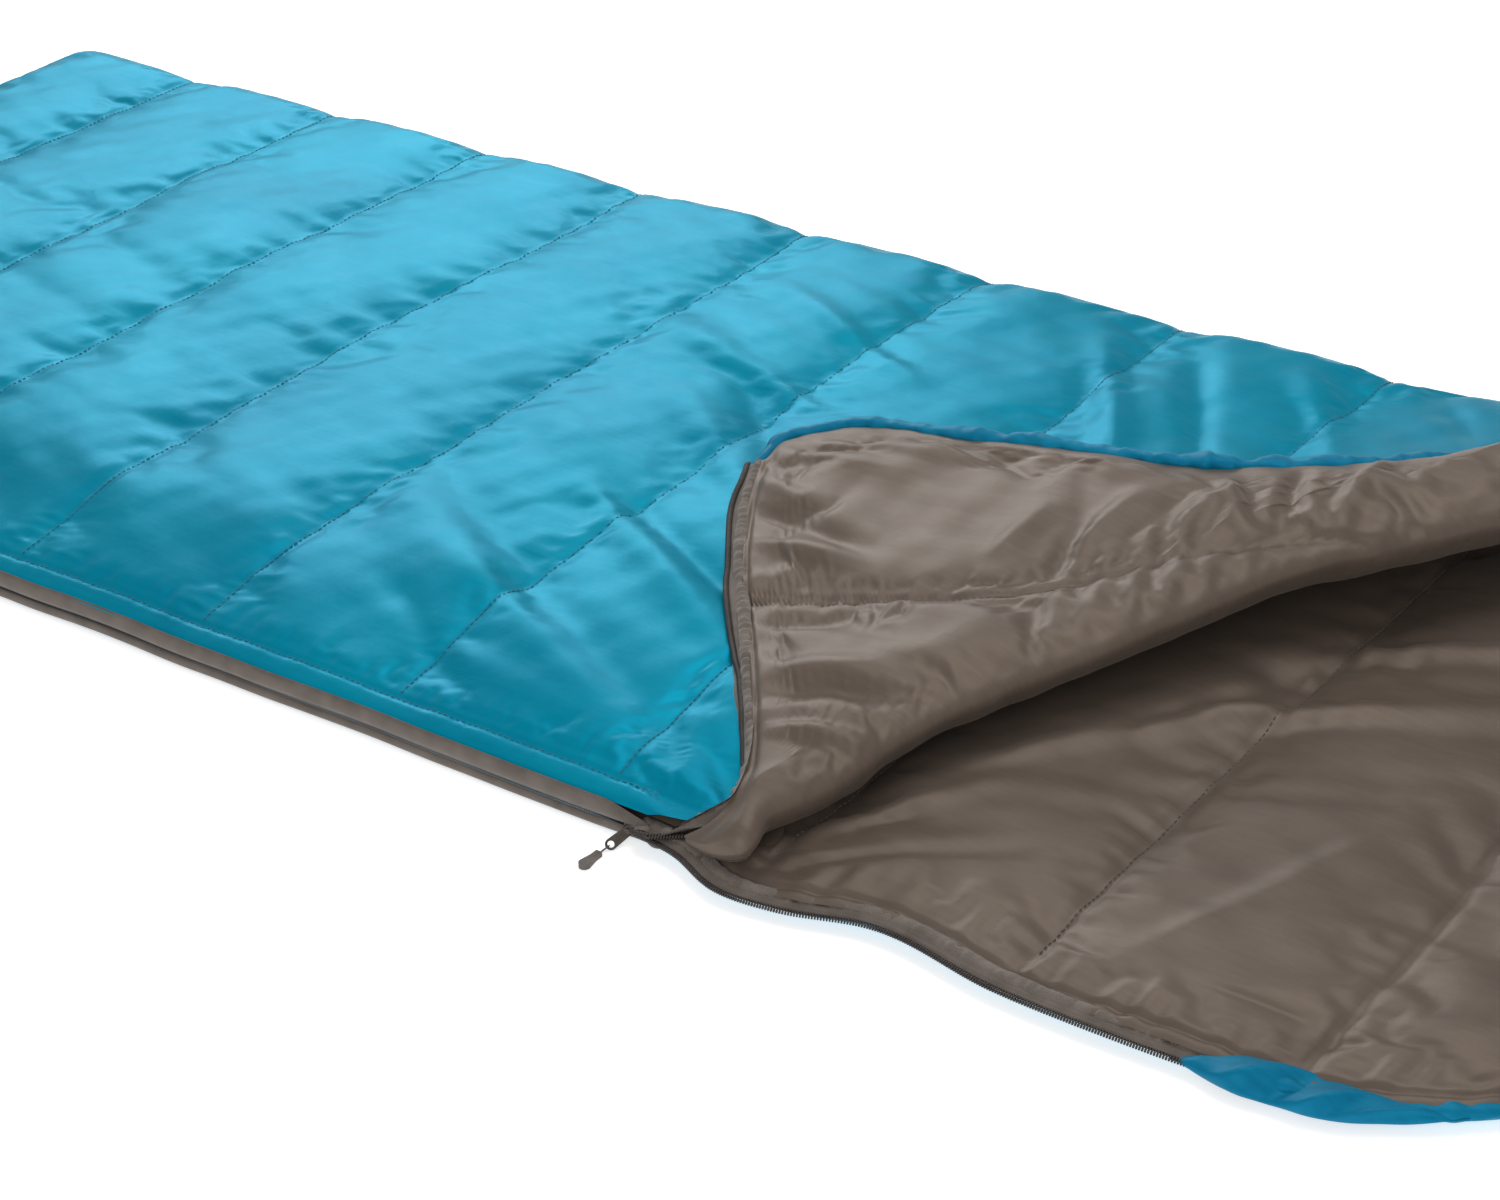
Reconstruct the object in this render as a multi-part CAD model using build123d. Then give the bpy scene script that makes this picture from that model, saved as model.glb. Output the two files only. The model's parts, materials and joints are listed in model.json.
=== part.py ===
from build123d import *
import os
from math import cos, hypot, radians, sin, sqrt

# Rectangular blanket sleeping bag, lying on the ground with one corner of its cover folded back.
# Frame: +X from the foot to the head, +Y from the zip side to the far side, +Z up, millimetres.
# The origin is on the ground under the middle of the bag.

# ---- driving dimensions -------------------------------------------------------------------
BAG_LENGTH = 2020
BAG_WIDTH = 800
HOOD_DEPTH = 230  # the rounded head section beyond the hinge line of the hood
FABRIC = 1  # each shell and each lining, as a solid sheet
FILL = 8  # the wadding between a shell and its lining
CAVITY = 9  # the sleeping space of the empty bag
SEAM = 12  # the width of the sewn far side and of the sewn foot end

FOOT_X = -BAG_LENGTH / 2
HEAD_X = BAG_LENGTH / 2
ZIP_Y = -BAG_WIDTH / 2
FAR_Y = BAG_WIDTH / 2
HOOD_X = HEAD_X - HOOD_DEPTH
MOUTH_X = HOOD_X - 10  # the cover's head hem
PANEL = 2 * FABRIC + FILL
COVER_Z = PANEL + CAVITY  # underside of the cover
CHAIN_SETBACK = 6  # the base's wadding stops this far short of the zip's tape

# ---- the folded corner of the cover ---------------------------------------------------------
FOLD_START_X = FOOT_X + 1344  # where the fold leaves the zip side
FOLD_END_Y = ZIP_Y + 741  # where the fold meets the head hem
FOLD_RADIUS_START = 12  # outer radius of the roll at the zip side and at the hem
FOLD_RADIUS_END = 76
FOLD_ANGLE = 179  # how far the corner has been turned back
HEM = 24  # the head hem's depth

# ---- the two-way zip ------------------------------------------------------------------------
CHAIN_Z = 9  # height of the chain's centre line
TAPE = 0.6
TAPE_WIDTH = 15
COIL_HEIGHT = 2.3
COIL_DEPTH = 2.6
COIL_GAP = 0.8  # from the centre line to each coil: the slider's post runs between them
LOWER_TAPE_FOOT = 0.3
ZIP_START_X = FOOT_X + 40
ZIP_END_X = FOOT_X + 1766
STOP = 4
HEAD_SLIDER_X = FOOT_X + 1311
FOOT_SLIDER_X = FOOT_X + 62

SLIDER_LENGTH = 14
SLIDER_WIDTH = 8
SLIDER_WALL = 1.1
SLIDER_PLAY = 0.5
BRIDGE_REACH = 3.8  # from the slider's outer face to the middle of the bridge's bar
BAR_RADIUS = 0.6
BRIDGE_LEG = 4.2

PULL_THICK = 1.0
PULL_WIDTH = 6.4
PULL_DROOP = 20.7
PULL_YAW = 20
PULL_TWIST = -45
PULL_TAIL = 2.0  # from the bridge's bar back to the end of the plate
WINDOW_LENGTH = 3.8
WINDOW_WIDTH = 3.8
HOLE_AT = 15.0
HOLE_RADIUS = 2.3
RIM = 1.6  # plate left between the hole and the tip
CORD_RADIUS = 0.5
CORD_LOOP_RADIUS = 1.55
CORD_REACH = 8
TAB_THICK = 3.6
TAB_NECK = 4.6
TAB_NECK_END = 14
TAB_ROUND_AT = 23
TAB_ROUND_RADIUS = 4

LOOP_LENGTH = 15
LOOP_WIDTH = 12
LOOP_GAP = 3
LOOP_FROM_CORNER = 79

BINDING = 6


# ---- helpers --------------------------------------------------------------------------------
def block(low, high):
    size = [b - a for a, b in zip(low, high)]
    middle = [(a + b) / 2 for a, b in zip(low, high)]
    return Pos(*middle) * Box(*size)


def sheet(outline, bottom, thickness):
    return Pos(0, 0, bottom) * extrude(outline, amount=thickness)


def outline_of(*corners):
    return make_face(Polyline(*corners, close=True))


# The fold is a cone whose lowest line lies in the plane of the cover's underside, so that the
# corner turns about the cone's axis from lying forward to lying back over the cover.
fold_run_x = MOUTH_X - FOLD_START_X
fold_run_y = FOLD_END_Y - ZIP_Y
fold_length = hypot(fold_run_x, fold_run_y)
along_x = fold_run_x / fold_length
along_y = fold_run_y / fold_length
fold_rise = FOLD_RADIUS_END - FOLD_RADIUS_START
fold_axis = Axis(
    (FOLD_START_X, ZIP_Y, COVER_Z + FOLD_RADIUS_START),
    (fold_run_x, fold_run_y, fold_rise),
)


def beside_fold(along, out):
    """A point in plan, along the fold from the zip side and out from it towards the head."""
    x = FOLD_START_X + along_x * along + along_y * out
    y = ZIP_Y + along_y * along - along_x * out
    return (x, y)


def clearance_out(radius):
    """How far out of the fold the turning corner starts, so that it clears the roll."""
    margin = 2
    return sqrt((radius + 1) ** 2 - (radius - PANEL) ** 2) + margin


# ---- quilted panels -------------------------------------------------------------------------
def base_panel():
    """The lower panel: shell on the ground, wadding and lining set back from the zip."""
    end_x = HOOD_X - 1
    shell = block((FOOT_X, ZIP_Y, 0), (end_x, FAR_Y, FABRIC))
    inner_y = ZIP_Y + CHAIN_SETBACK
    fill = block((FOOT_X, inner_y, FABRIC), (end_x, FAR_Y, FABRIC + FILL))
    lining = block((FOOT_X, inner_y, FABRIC + FILL), (end_x, FAR_Y, PANEL))
    return {"base_shell": shell, "base_fill": fill, "base_lining": lining}


def cover_panel():
    """The upper panel as far as the fold: lining below, shell on top."""
    outline = outline_of(
        (FOOT_X, ZIP_Y),
        (FOLD_START_X, ZIP_Y),
        (MOUTH_X, FOLD_END_Y),
        (MOUTH_X, FAR_Y),
        (FOOT_X, FAR_Y),
    )
    return {
        "cover_lining": sheet(outline, COVER_Z, FABRIC),
        "cover_fill": sheet(outline, COVER_Z + FABRIC, FILL),
        "cover_shell": sheet(outline, COVER_Z + FABRIC + FILL, FABRIC),
    }


def fold_layer(outer_inset, thickness):
    """One layer of the roll, swept about the fold's axis from below it to above it."""
    profile_plane = Plane(
        origin=fold_axis.position,
        x_dir=fold_axis.direction,
        z_dir=(along_y, -along_x, 0),
    )
    axis_length = hypot(fold_length, fold_rise)
    start = FOLD_RADIUS_START * fold_length / axis_length - outer_inset
    end = FOLD_RADIUS_END * fold_length / axis_length - outer_inset
    profile = profile_plane * outline_of(
        (0, -start),
        (axis_length, -end),
        (axis_length, -end + thickness),
        (0, -start + thickness),
    )
    roll = revolve(profile, axis=fold_axis, revolution_arc=-FOLD_ANGLE)
    top = COVER_Z + 2 * FOLD_RADIUS_END + PANEL
    return roll & block((FOOT_X, ZIP_Y, 0), (MOUTH_X, FAR_Y, top))


def fold_roll():
    return {
        "fold_lining": fold_layer(0, FABRIC),
        "fold_fill": fold_layer(FABRIC, FILL),
        "fold_shell": fold_layer(FABRIC + FILL, FABRIC),
    }


def flap_edge():
    """The line where the turned-back corner starts, from the zip side to the head hem."""
    out_start = clearance_out(FOLD_RADIUS_START)
    out_end = clearance_out(FOLD_RADIUS_END)
    near = beside_fold(out_start * along_x / along_y, out_start)
    far = beside_fold((fold_run_x - along_y * out_end) / along_x, out_end)
    return near, far


def turned_back(shape):
    return shape.rotate(fold_axis, -FOLD_ANGLE)


def flap_panel():
    """The corner of the cover beyond the fold, modelled lying forward and then turned back."""
    near, far = flap_edge()
    hem_x = MOUTH_X - HEM
    share = (hem_x - near[0]) / (far[0] - near[0])
    hem_y = near[1] + share * (far[1] - near[1])
    panel = outline_of(near, (hem_x, ZIP_Y), (hem_x, hem_y))
    hem = outline_of((hem_x, ZIP_Y), (MOUTH_X, ZIP_Y), far, (hem_x, hem_y))
    layers = {
        "flap_lining": sheet(panel, COVER_Z, FABRIC),
        "flap_fill": sheet(panel, COVER_Z + FABRIC, FILL),
        "flap_shell": sheet(panel, COVER_Z + FABRIC + FILL, FABRIC),
        "head_hem": sheet(hem, COVER_Z, PANEL),
    }
    return {name: turned_back(shape) for name, shape in layers.items()}


def hood_panel():
    """The rounded head section of the lower panel, with a bound edge."""

    def half_ellipse(inset):
        whole = Ellipse(HOOD_DEPTH - inset, BAG_WIDTH / 2 - inset)
        front = Pos(HOOD_DEPTH / 2 + 1, 0) * Rectangle(HOOD_DEPTH, BAG_WIDTH)
        return Pos(HOOD_X, 0) * (whole & front)

    inner = half_ellipse(BINDING)
    return {
        "hood_shell": sheet(inner, 0, FABRIC),
        "hood_fill": sheet(inner, FABRIC, FILL),
        "hood_lining": sheet(inner, FABRIC + FILL, FABRIC),
        "hood_binding": sheet(half_ellipse(0) - inner, 0, PANEL),
    }


def sewn_edges():
    far_seam = block((FOOT_X, FAR_Y - SEAM, PANEL), (MOUTH_X, FAR_Y, COVER_Z))
    foot_seam = block((FOOT_X, ZIP_Y, PANEL), (FOOT_X + SEAM, FAR_Y - SEAM, COVER_Z))
    return {"far_side_seam": far_seam, "foot_seam": foot_seam}


def hang_loop(y):
    """A flattened loop of webbing, sewn into the foot seam."""
    middle = (PANEL + COVER_Z) / 2
    half = LOOP_GAP / 2 + FABRIC
    outer = block(
        (FOOT_X - LOOP_LENGTH, y - LOOP_WIDTH / 2, middle - half),
        (FOOT_X, y + LOOP_WIDTH / 2, middle + half),
    )
    gap = block(
        (FOOT_X - LOOP_LENGTH + FABRIC, y - LOOP_WIDTH, middle - LOOP_GAP / 2),
        (FOOT_X, y + LOOP_WIDTH, middle + LOOP_GAP / 2),
    )
    return outer - gap


# ---- zip ------------------------------------------------------------------------------------
UPPER_COIL_Z = CHAIN_Z + COIL_GAP
LOWER_COIL_Z = CHAIN_Z - COIL_GAP - COIL_HEIGHT


def upper_tape(start_x, end_x):
    return block(
        (start_x, ZIP_Y - TAPE, UPPER_COIL_Z),
        (end_x, ZIP_Y, UPPER_COIL_Z + TAPE_WIDTH),
    )


def coil(start_x, end_x, bottom):
    return block(
        (start_x, ZIP_Y, bottom),
        (end_x, ZIP_Y + COIL_DEPTH, bottom + COIL_HEIGHT),
    )


def zip_chain():
    """Both tapes and coils, the stops and the pocket over the zip's end."""
    flap_start_x = flap_edge()[0][0]
    stop_end_x = ZIP_END_X + STOP
    lower_tape = block(
        (ZIP_START_X, ZIP_Y - TAPE, LOWER_TAPE_FOOT),
        (stop_end_x, ZIP_Y, CHAIN_Z - COIL_GAP),
    )
    foot_stop = block(
        (ZIP_START_X - STOP, ZIP_Y - TAPE, LOWER_COIL_Z),
        (ZIP_START_X, ZIP_Y + COIL_DEPTH, UPPER_COIL_Z + COIL_HEIGHT),
    )
    garage = block(
        (stop_end_x, ZIP_Y - CHAIN_SETBACK, LOWER_TAPE_FOOT),
        (HOOD_X - 2, ZIP_Y, CHAIN_Z + COIL_GAP),
    )
    return {
        "zip_tape_lower": lower_tape,
        "zip_coil_lower": coil(ZIP_START_X, ZIP_END_X, LOWER_COIL_Z),
        "zip_tape_upper": upper_tape(ZIP_START_X, FOLD_START_X),
        "zip_coil_upper": coil(ZIP_START_X, FOLD_START_X, UPPER_COIL_Z),
        "zip_stop_foot": foot_stop,
        "zip_stop_lower": coil(ZIP_END_X, stop_end_x, LOWER_COIL_Z),
        "zip_garage": garage,
        "flap_zip_tape": turned_back(upper_tape(flap_start_x, stop_end_x)),
        "flap_zip_coil": turned_back(coil(flap_start_x, ZIP_END_X, UPPER_COIL_Z)),
        "zip_stop_upper": turned_back(coil(ZIP_END_X, stop_end_x, UPPER_COIL_Z)),
    }


# Depths of the slider's two walls, outwards from the zip side being negative.
OUTER_WALL_Y = ZIP_Y - TAPE - SLIDER_PLAY - SLIDER_WALL
INNER_WALL_Y = ZIP_Y + COIL_DEPTH + SLIDER_PLAY
BAR_Y = OUTER_WALL_Y - BRIDGE_REACH


def slider_body(x, nose):
    """Two walls round the chain, a post between the coils at the nose and two side rails."""
    half = SLIDER_WIDTH / 2
    rail = 0.7
    post_half = 0.45
    post_length = 3
    left = x - SLIDER_LENGTH / 2
    right = x + SLIDER_LENGTH / 2
    outer = block(
        (left, OUTER_WALL_Y, CHAIN_Z - half),
        (right, OUTER_WALL_Y + SLIDER_WALL, CHAIN_Z + half),
    )
    inner = block(
        (left, INNER_WALL_Y, CHAIN_Z - half),
        (right, INNER_WALL_Y + SLIDER_WALL, CHAIN_Z + half),
    )
    post_x = x + nose * (SLIDER_LENGTH - post_length) / 2
    post = block(
        (post_x - post_length / 2, OUTER_WALL_Y + SLIDER_WALL, CHAIN_Z - post_half),
        (post_x + post_length / 2, INNER_WALL_Y, CHAIN_Z + post_half),
    )
    corner = 2
    body = fillet(outer.edges().filter_by(Axis.Y), corner)
    body += fillet(inner.edges().filter_by(Axis.Y), corner)
    body += post
    for side in (-1, 1):
        middle_z = CHAIN_Z + side * (half - rail / 2)
        body += block(
            (left + 2, ZIP_Y + SLIDER_PLAY, middle_z - rail / 2),
            (right - 2, INNER_WALL_Y, middle_z + rail / 2),
        )
    return body


def slider_bridge(x):
    """The arch that holds the pull: a round bar along the slider on two legs."""
    leg_half = 0.7
    bar = Pos(x, BAR_Y, CHAIN_Z) * Rot(0, 90, 0) * Cylinder(BAR_RADIUS, 2 * BRIDGE_LEG)
    bridge = bar
    for side in (-1, 1):
        leg_x = x + side * BRIDGE_LEG
        bridge += block(
            (leg_x - leg_half, BAR_Y - BAR_RADIUS, CHAIN_Z - leg_half),
            (leg_x + leg_half, OUTER_WALL_Y, CHAIN_Z + leg_half),
        )
    return bridge


# The pull lies outwards and down to the ground, turned a little to the foot and twisted.
pull_along = Vector(
    -sin(radians(PULL_YAW)) * cos(radians(PULL_DROOP)),
    -cos(radians(PULL_YAW)) * cos(radians(PULL_DROOP)),
    -sin(radians(PULL_DROOP)),
)
level_across = Vector(cos(radians(PULL_YAW)), -sin(radians(PULL_YAW)), 0)
pull_normal = pull_along.cross(level_across).rotate(
    Axis((0, 0, 0), pull_along), PULL_TWIST
)
pull_across = pull_normal.cross(pull_along)
TIP = HOLE_AT + HOLE_RADIUS + RIM / 2  # from the bridge's bar to the rim the cord goes round


def pull_plate(x):
    """Flat plate with a window for the bridge, a raised rib and a hole for the cord."""
    neck_end = HOLE_AT
    outline = outline_of(
        (-PULL_TAIL, -PULL_WIDTH / 2),
        (neck_end, -HOLE_RADIUS - RIM),
        (neck_end, HOLE_RADIUS + RIM),
        (-PULL_TAIL, PULL_WIDTH / 2),
    )
    outline += Pos(HOLE_AT, 0) * Circle(HOLE_RADIUS + RIM)
    window_middle = WINDOW_LENGTH / 2 - (PULL_TAIL - 1)
    outline -= Pos(window_middle, 0) * Rectangle(WINDOW_LENGTH, WINDOW_WIDTH)
    outline -= Pos(HOLE_AT, 0) * Circle(HOLE_RADIUS)
    plate = Pos(0, 0, -PULL_THICK / 2) * extrude(outline, amount=PULL_THICK)
    rib_start = window_middle + WINDOW_LENGTH / 2 + 1.5
    rib_end = HOLE_AT - HOLE_RADIUS - 1.5
    rib = Pos((rib_start + rib_end) / 2, 0, PULL_THICK / 2) * Box(
        rib_end - rib_start, 1.4, 0.8
    )
    held = Plane(origin=(x, BAR_Y, CHAIN_Z), x_dir=pull_along, z_dir=pull_normal)
    return held.location * (plate + rib)


tab_along = (pull_along * pull_normal.Z - pull_normal * pull_along.Z).normalized()


def tip_of(x):
    return Vector(x, BAR_Y, CHAIN_Z) + pull_along * TIP


def pull_cord(x):
    """A thin cord looped through the plate's hole and round its rim, into the tab."""
    lift = tab_along.cross(pull_across)
    loop_plane = Plane(origin=tip_of(x), x_dir=tab_along, z_dir=tab_along.cross(lift))
    start = (CORD_REACH, CORD_LOOP_RADIUS)
    end = (CORD_REACH, -CORD_LOOP_RADIUS)
    path = Polyline(start, (0, CORD_LOOP_RADIUS))
    path += ThreePointArc((0, CORD_LOOP_RADIUS), (-CORD_LOOP_RADIUS, 0), (0, -CORD_LOOP_RADIUS))
    path += Polyline((0, -CORD_LOOP_RADIUS), end)
    section = Plane(origin=(*start, 0), z_dir=(-1, 0, 0)) * Circle(CORD_RADIUS)
    return loop_plane.location * sweep(section, path=path)


def pull_tab(x):
    """A soft moulded tab, lying flat: a neck that swells to a round end."""
    outline = outline_of(
        (CORD_REACH, -TAB_NECK / 2),
        (TAB_NECK_END, -TAB_NECK / 2),
        (TAB_ROUND_AT, -TAB_ROUND_RADIUS),
        (TAB_ROUND_AT, TAB_ROUND_RADIUS),
        (TAB_NECK_END, TAB_NECK / 2),
        (CORD_REACH, TAB_NECK / 2),
    )
    outline += Pos(TAB_ROUND_AT, 0) * Circle(TAB_ROUND_RADIUS)
    tab = Pos(0, 0, -TAB_THICK / 2) * extrude(outline, amount=TAB_THICK)
    lying = Plane(origin=tip_of(x), x_dir=tab_along, z_dir=(0, 0, 1))
    return lying.location * tab


def slider_set(name, x, nose):
    return {
        f"{name}_slider_body": slider_body(x, nose),
        f"{name}_slider_bridge": slider_bridge(x),
        f"{name}_pull_plate": pull_plate(x),
        f"{name}_pull_cord": pull_cord(x),
        f"{name}_pull_tab": pull_tab(x),
    }


# ---- the whole bag --------------------------------------------------------------------------
nodes = base_panel()
nodes.update(cover_panel())
nodes.update(fold_roll())
nodes.update(flap_panel())
nodes.update(hood_panel())
nodes.update(sewn_edges())
nodes["hang_loop_far"] = hang_loop(FAR_Y - LOOP_FROM_CORNER)
nodes["hang_loop_near"] = hang_loop(ZIP_Y + LOOP_FROM_CORNER)
nodes.update(zip_chain())
nodes.update(slider_set("head", HEAD_SLIDER_X, 1))
nodes.update(slider_set("foot", FOOT_SLIDER_X, -1))

os.makedirs("parts", exist_ok=True)
for name, shape in nodes.items():
    export_step(shape, f"parts/{name}.step")

# The joints' places, which the record repeats in metres.
print("fold axis", fold_axis.position, fold_axis.direction)
print("pull axis", (HEAD_SLIDER_X, BAR_Y, CHAIN_Z), "tab axis", tip_of(HEAD_SLIDER_X), pull_across)
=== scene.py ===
import json
import math

import bpy
import numpy as np
from mathutils import Matrix, Vector


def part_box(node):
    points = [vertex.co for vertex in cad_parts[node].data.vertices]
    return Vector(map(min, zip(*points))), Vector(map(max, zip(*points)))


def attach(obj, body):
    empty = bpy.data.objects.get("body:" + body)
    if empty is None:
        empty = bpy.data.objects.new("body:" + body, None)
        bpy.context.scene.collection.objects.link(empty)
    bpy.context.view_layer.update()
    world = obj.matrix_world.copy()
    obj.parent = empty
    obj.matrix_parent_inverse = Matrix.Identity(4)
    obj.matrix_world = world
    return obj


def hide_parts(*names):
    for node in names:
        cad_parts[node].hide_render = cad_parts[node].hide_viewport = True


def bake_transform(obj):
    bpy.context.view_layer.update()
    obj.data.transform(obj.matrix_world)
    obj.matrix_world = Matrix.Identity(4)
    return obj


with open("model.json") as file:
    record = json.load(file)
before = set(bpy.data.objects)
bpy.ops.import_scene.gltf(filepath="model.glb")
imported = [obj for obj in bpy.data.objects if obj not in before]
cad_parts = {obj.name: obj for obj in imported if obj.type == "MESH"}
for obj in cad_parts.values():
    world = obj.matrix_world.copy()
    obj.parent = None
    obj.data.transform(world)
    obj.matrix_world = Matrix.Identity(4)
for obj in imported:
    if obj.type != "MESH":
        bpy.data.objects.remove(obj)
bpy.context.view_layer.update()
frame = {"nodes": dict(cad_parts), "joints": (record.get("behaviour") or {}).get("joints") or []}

# ---- places and sizes taken from the frame --------------------------------------------------
FOOT_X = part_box("base_shell")[0].x
NEAR_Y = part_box("base_shell")[0].y
FAR_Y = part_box("base_shell")[1].y
HEAD_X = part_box("hood_shell")[1].x
HOOD_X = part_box("hood_shell")[0].x
MOUTH_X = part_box("cover_shell")[1].x
COVER_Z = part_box("cover_lining")[0].z
ZIP_FOOT_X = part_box("zip_coil_lower")[0].x
ZIP_HEAD_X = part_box("zip_coil_lower")[1].x
CHAIN_Z = (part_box("head_slider_body")[0].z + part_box("head_slider_body")[1].z) / 2
SLIDER_X = (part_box("head_slider_body")[0].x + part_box("head_slider_body")[1].x) / 2

# The fold runs from the zip side to the head hem: a place near it is (along it, out from it).
FOLD = next(j for j in frame["joints"] if j["name"] == "cover_fold")
FOLD_START = np.array(FOLD["pos_m"][:2], float)
FOLD_DIR = np.array(FOLD["axis"][:2], float)
FOLD_DIR /= np.linalg.norm(FOLD_DIR)
FOLD_OUT = np.array([FOLD_DIR[1], -FOLD_DIR[0]])
FOLD_END = (MOUTH_X - FOLD_START[0]) / FOLD_DIR[0]

QUILT_PITCH = 0.183
QUILT_FIRST = 0.182
ZIP_INSET = 0.016
FLAP_CORNER = 0.221  # how far along the fold the turned corner lies
EDGE_Z = 0.021  # the height of the cover's edge on the zip side
TAPE_THICK = 0.0007
LAST_FRAME = 20  # of the cloth simulation


# ---- small numeric helpers ------------------------------------------------------------------
def smooth(t):
    t = np.clip(t, 0, 1)
    return t * t * (3 - 2 * t)


def unit(vectors):
    """The same directions, each with a length of 1."""
    return vectors / np.maximum(np.linalg.norm(vectors, axis=-1, keepdims=True), 1e-12)


def round_edge(distance, width):
    """Rises like a quarter circle, from 0 at an edge to 1 at width away from it."""
    return np.sqrt(np.clip(1 - (1 - np.clip(distance / width, 0, 1)) ** 2, 0, 1))


def through(points):
    """A smooth curve through (place, value) points, as a function."""
    xs = np.array([p[0] for p in points], float)
    ys = np.array([p[1] for p in points], float)
    slopes = np.gradient(ys, xs)

    def value(x):
        x = np.clip(x, xs[0], xs[-1])
        k = np.clip(np.searchsorted(xs, x) - 1, 0, len(xs) - 2)
        h = xs[k + 1] - xs[k]
        t = (x - xs[k]) / h
        a = (2 * t**3 - 3 * t**2 + 1) * ys[k] + (t**3 - 2 * t**2 + t) * h * slopes[k]
        b = (3 * t**2 - 2 * t**3) * ys[k + 1] + (t**3 - t**2) * h * slopes[k + 1]
        return a + b

    return value


def waves(x, y, size, seed, count=9):
    """Smooth seeded noise of about -1..1, with lumps about as large as size."""
    pick = np.random.default_rng(seed)
    total = np.zeros(np.broadcast(x, y).shape)
    for _ in range(count):
        turn = pick.uniform(0, 2 * math.pi)
        k = 2 * math.pi / (size * pick.uniform(0.7, 1.6))
        shift = pick.uniform(0, 2 * math.pi)
        total += np.sin(k * (math.cos(turn) * x + math.sin(turn) * y) + shift)
    return total / count**0.5 * 0.8


def crease(x, y, start, end, width, height, bow=0.0):
    """One soft ridge, or valley where height is negative, from start to end."""
    start, end = np.array(start, float), np.array(end, float)
    run = end - start
    length = np.linalg.norm(run)
    run /= length
    dx, dy = x - start[0], y - start[1]
    t = (dx * run[0] + dy * run[1]) / length
    side = -dx * run[1] + dy * run[0] - bow * np.sin(np.pi * np.clip(t, 0, 1))
    fade = smooth((t + 0.15) / 0.35) * smooth((1.15 - t) / 0.5)
    spread = width * (0.75 + 0.5 * np.clip(t, 0, 1))
    return height * fade * np.exp(-((side / spread) ** 2))


def seam_places():
    """Where the cover's quilt seams cross the bag."""
    return [FOOT_X + QUILT_FIRST + QUILT_PITCH * k for k in range(8)]


def quilt(x, y, seams, bulge, groove, seed):
    """Height of the padding between the quilt seams, from 0 at a seam, with puckers beside it."""
    nearest = np.full(np.broadcast(x, y).shape, 9.0)
    for k, place in enumerate(seams):
        wander = 0.004 * waves(0 * x + k * 0.37, y, 0.5, seed + k)
        nearest = np.minimum(nearest, np.abs(x - place - wander))
    share = np.clip(nearest / (QUILT_PITCH / 2), 0, 1)
    height = bulge * (1 - (1 - share) ** 2.4)
    height -= groove * np.exp(-((nearest / 0.0036) ** 2))
    pucker = waves(x * 0.15, y, 0.022, seed + 50) * 0.7 + waves(x * 0.3, y, 0.05, seed + 51) * 0.6
    height += 0.0010 * pucker * np.exp(-nearest / 0.016)
    return height


# ---- mesh helpers ---------------------------------------------------------------------------
def material_of(obj, material):
    obj.data.materials.clear()
    obj.data.materials.append(material)
    return obj


def grid_normals(points):
    du = np.gradient(points, axis=0)
    dv = np.gradient(points, axis=1)
    return unit(np.cross(du, dv))


def new_mesh(name, points, faces, material):
    mesh = bpy.data.meshes.new(name)
    mesh.from_pydata(points, [], faces)
    mesh.update()
    mesh.shade_smooth()
    obj = bpy.data.objects.new(name, mesh)
    bpy.context.scene.collection.objects.link(obj)
    return material_of(obj, material)


def grid_faces(rows, columns, closed=False):
    i, j = np.meshgrid(np.arange(rows - 1), np.arange(columns - (0 if closed else 1)), indexing="ij")
    k = (j + 1) % columns
    faces = np.stack([i * columns + j, (i + 1) * columns + j, (i + 1) * columns + k, i * columns + k], -1)
    return faces.reshape(-1, 4).tolist()


def capped_faces(rings, sides):
    """Faces of a closed tube, with one face at each end."""
    faces = grid_faces(rings, sides, closed=True)
    faces.append(list(range(sides)))
    last = (rings - 1) * sides
    faces.append([last + k for k in range(sides)][::-1])
    return faces


def cloth(name, points, material, up=True):
    """A piece of cloth from a grid of points; its outer face looks up or down."""
    faces = grid_faces(*points.shape[:2])
    if not up:
        faces = [f[::-1] for f in faces]
    return new_mesh(name, points.reshape(-1, 3).tolist(), faces, material)


def place_piece(obj, body, slot, *nodes):
    """A piece that moves with one body, and the CAD nodes that it stands for."""
    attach(obj, body)
    if nodes:
        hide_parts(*nodes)


def bend_at_hood(obj):
    """Bakes the piece's placement into its mesh; the piece does not bend where the head section folds up."""
    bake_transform(obj)


def finer(values, axis):
    """Twice as many values along an axis, on a smooth curve through the given ones."""
    v = np.moveaxis(values, axis, 0)
    wide = np.concatenate([v[:1], v, v[-1:]])
    between = (9 * (wide[1:-2] + wide[2:-1]) - wide[:-3] - wide[3:]) / 16
    out = np.empty((2 * len(v) - 1, *v.shape[1:]))
    out[::2] = v
    out[1::2] = between
    return np.moveaxis(out, 0, axis)


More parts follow.
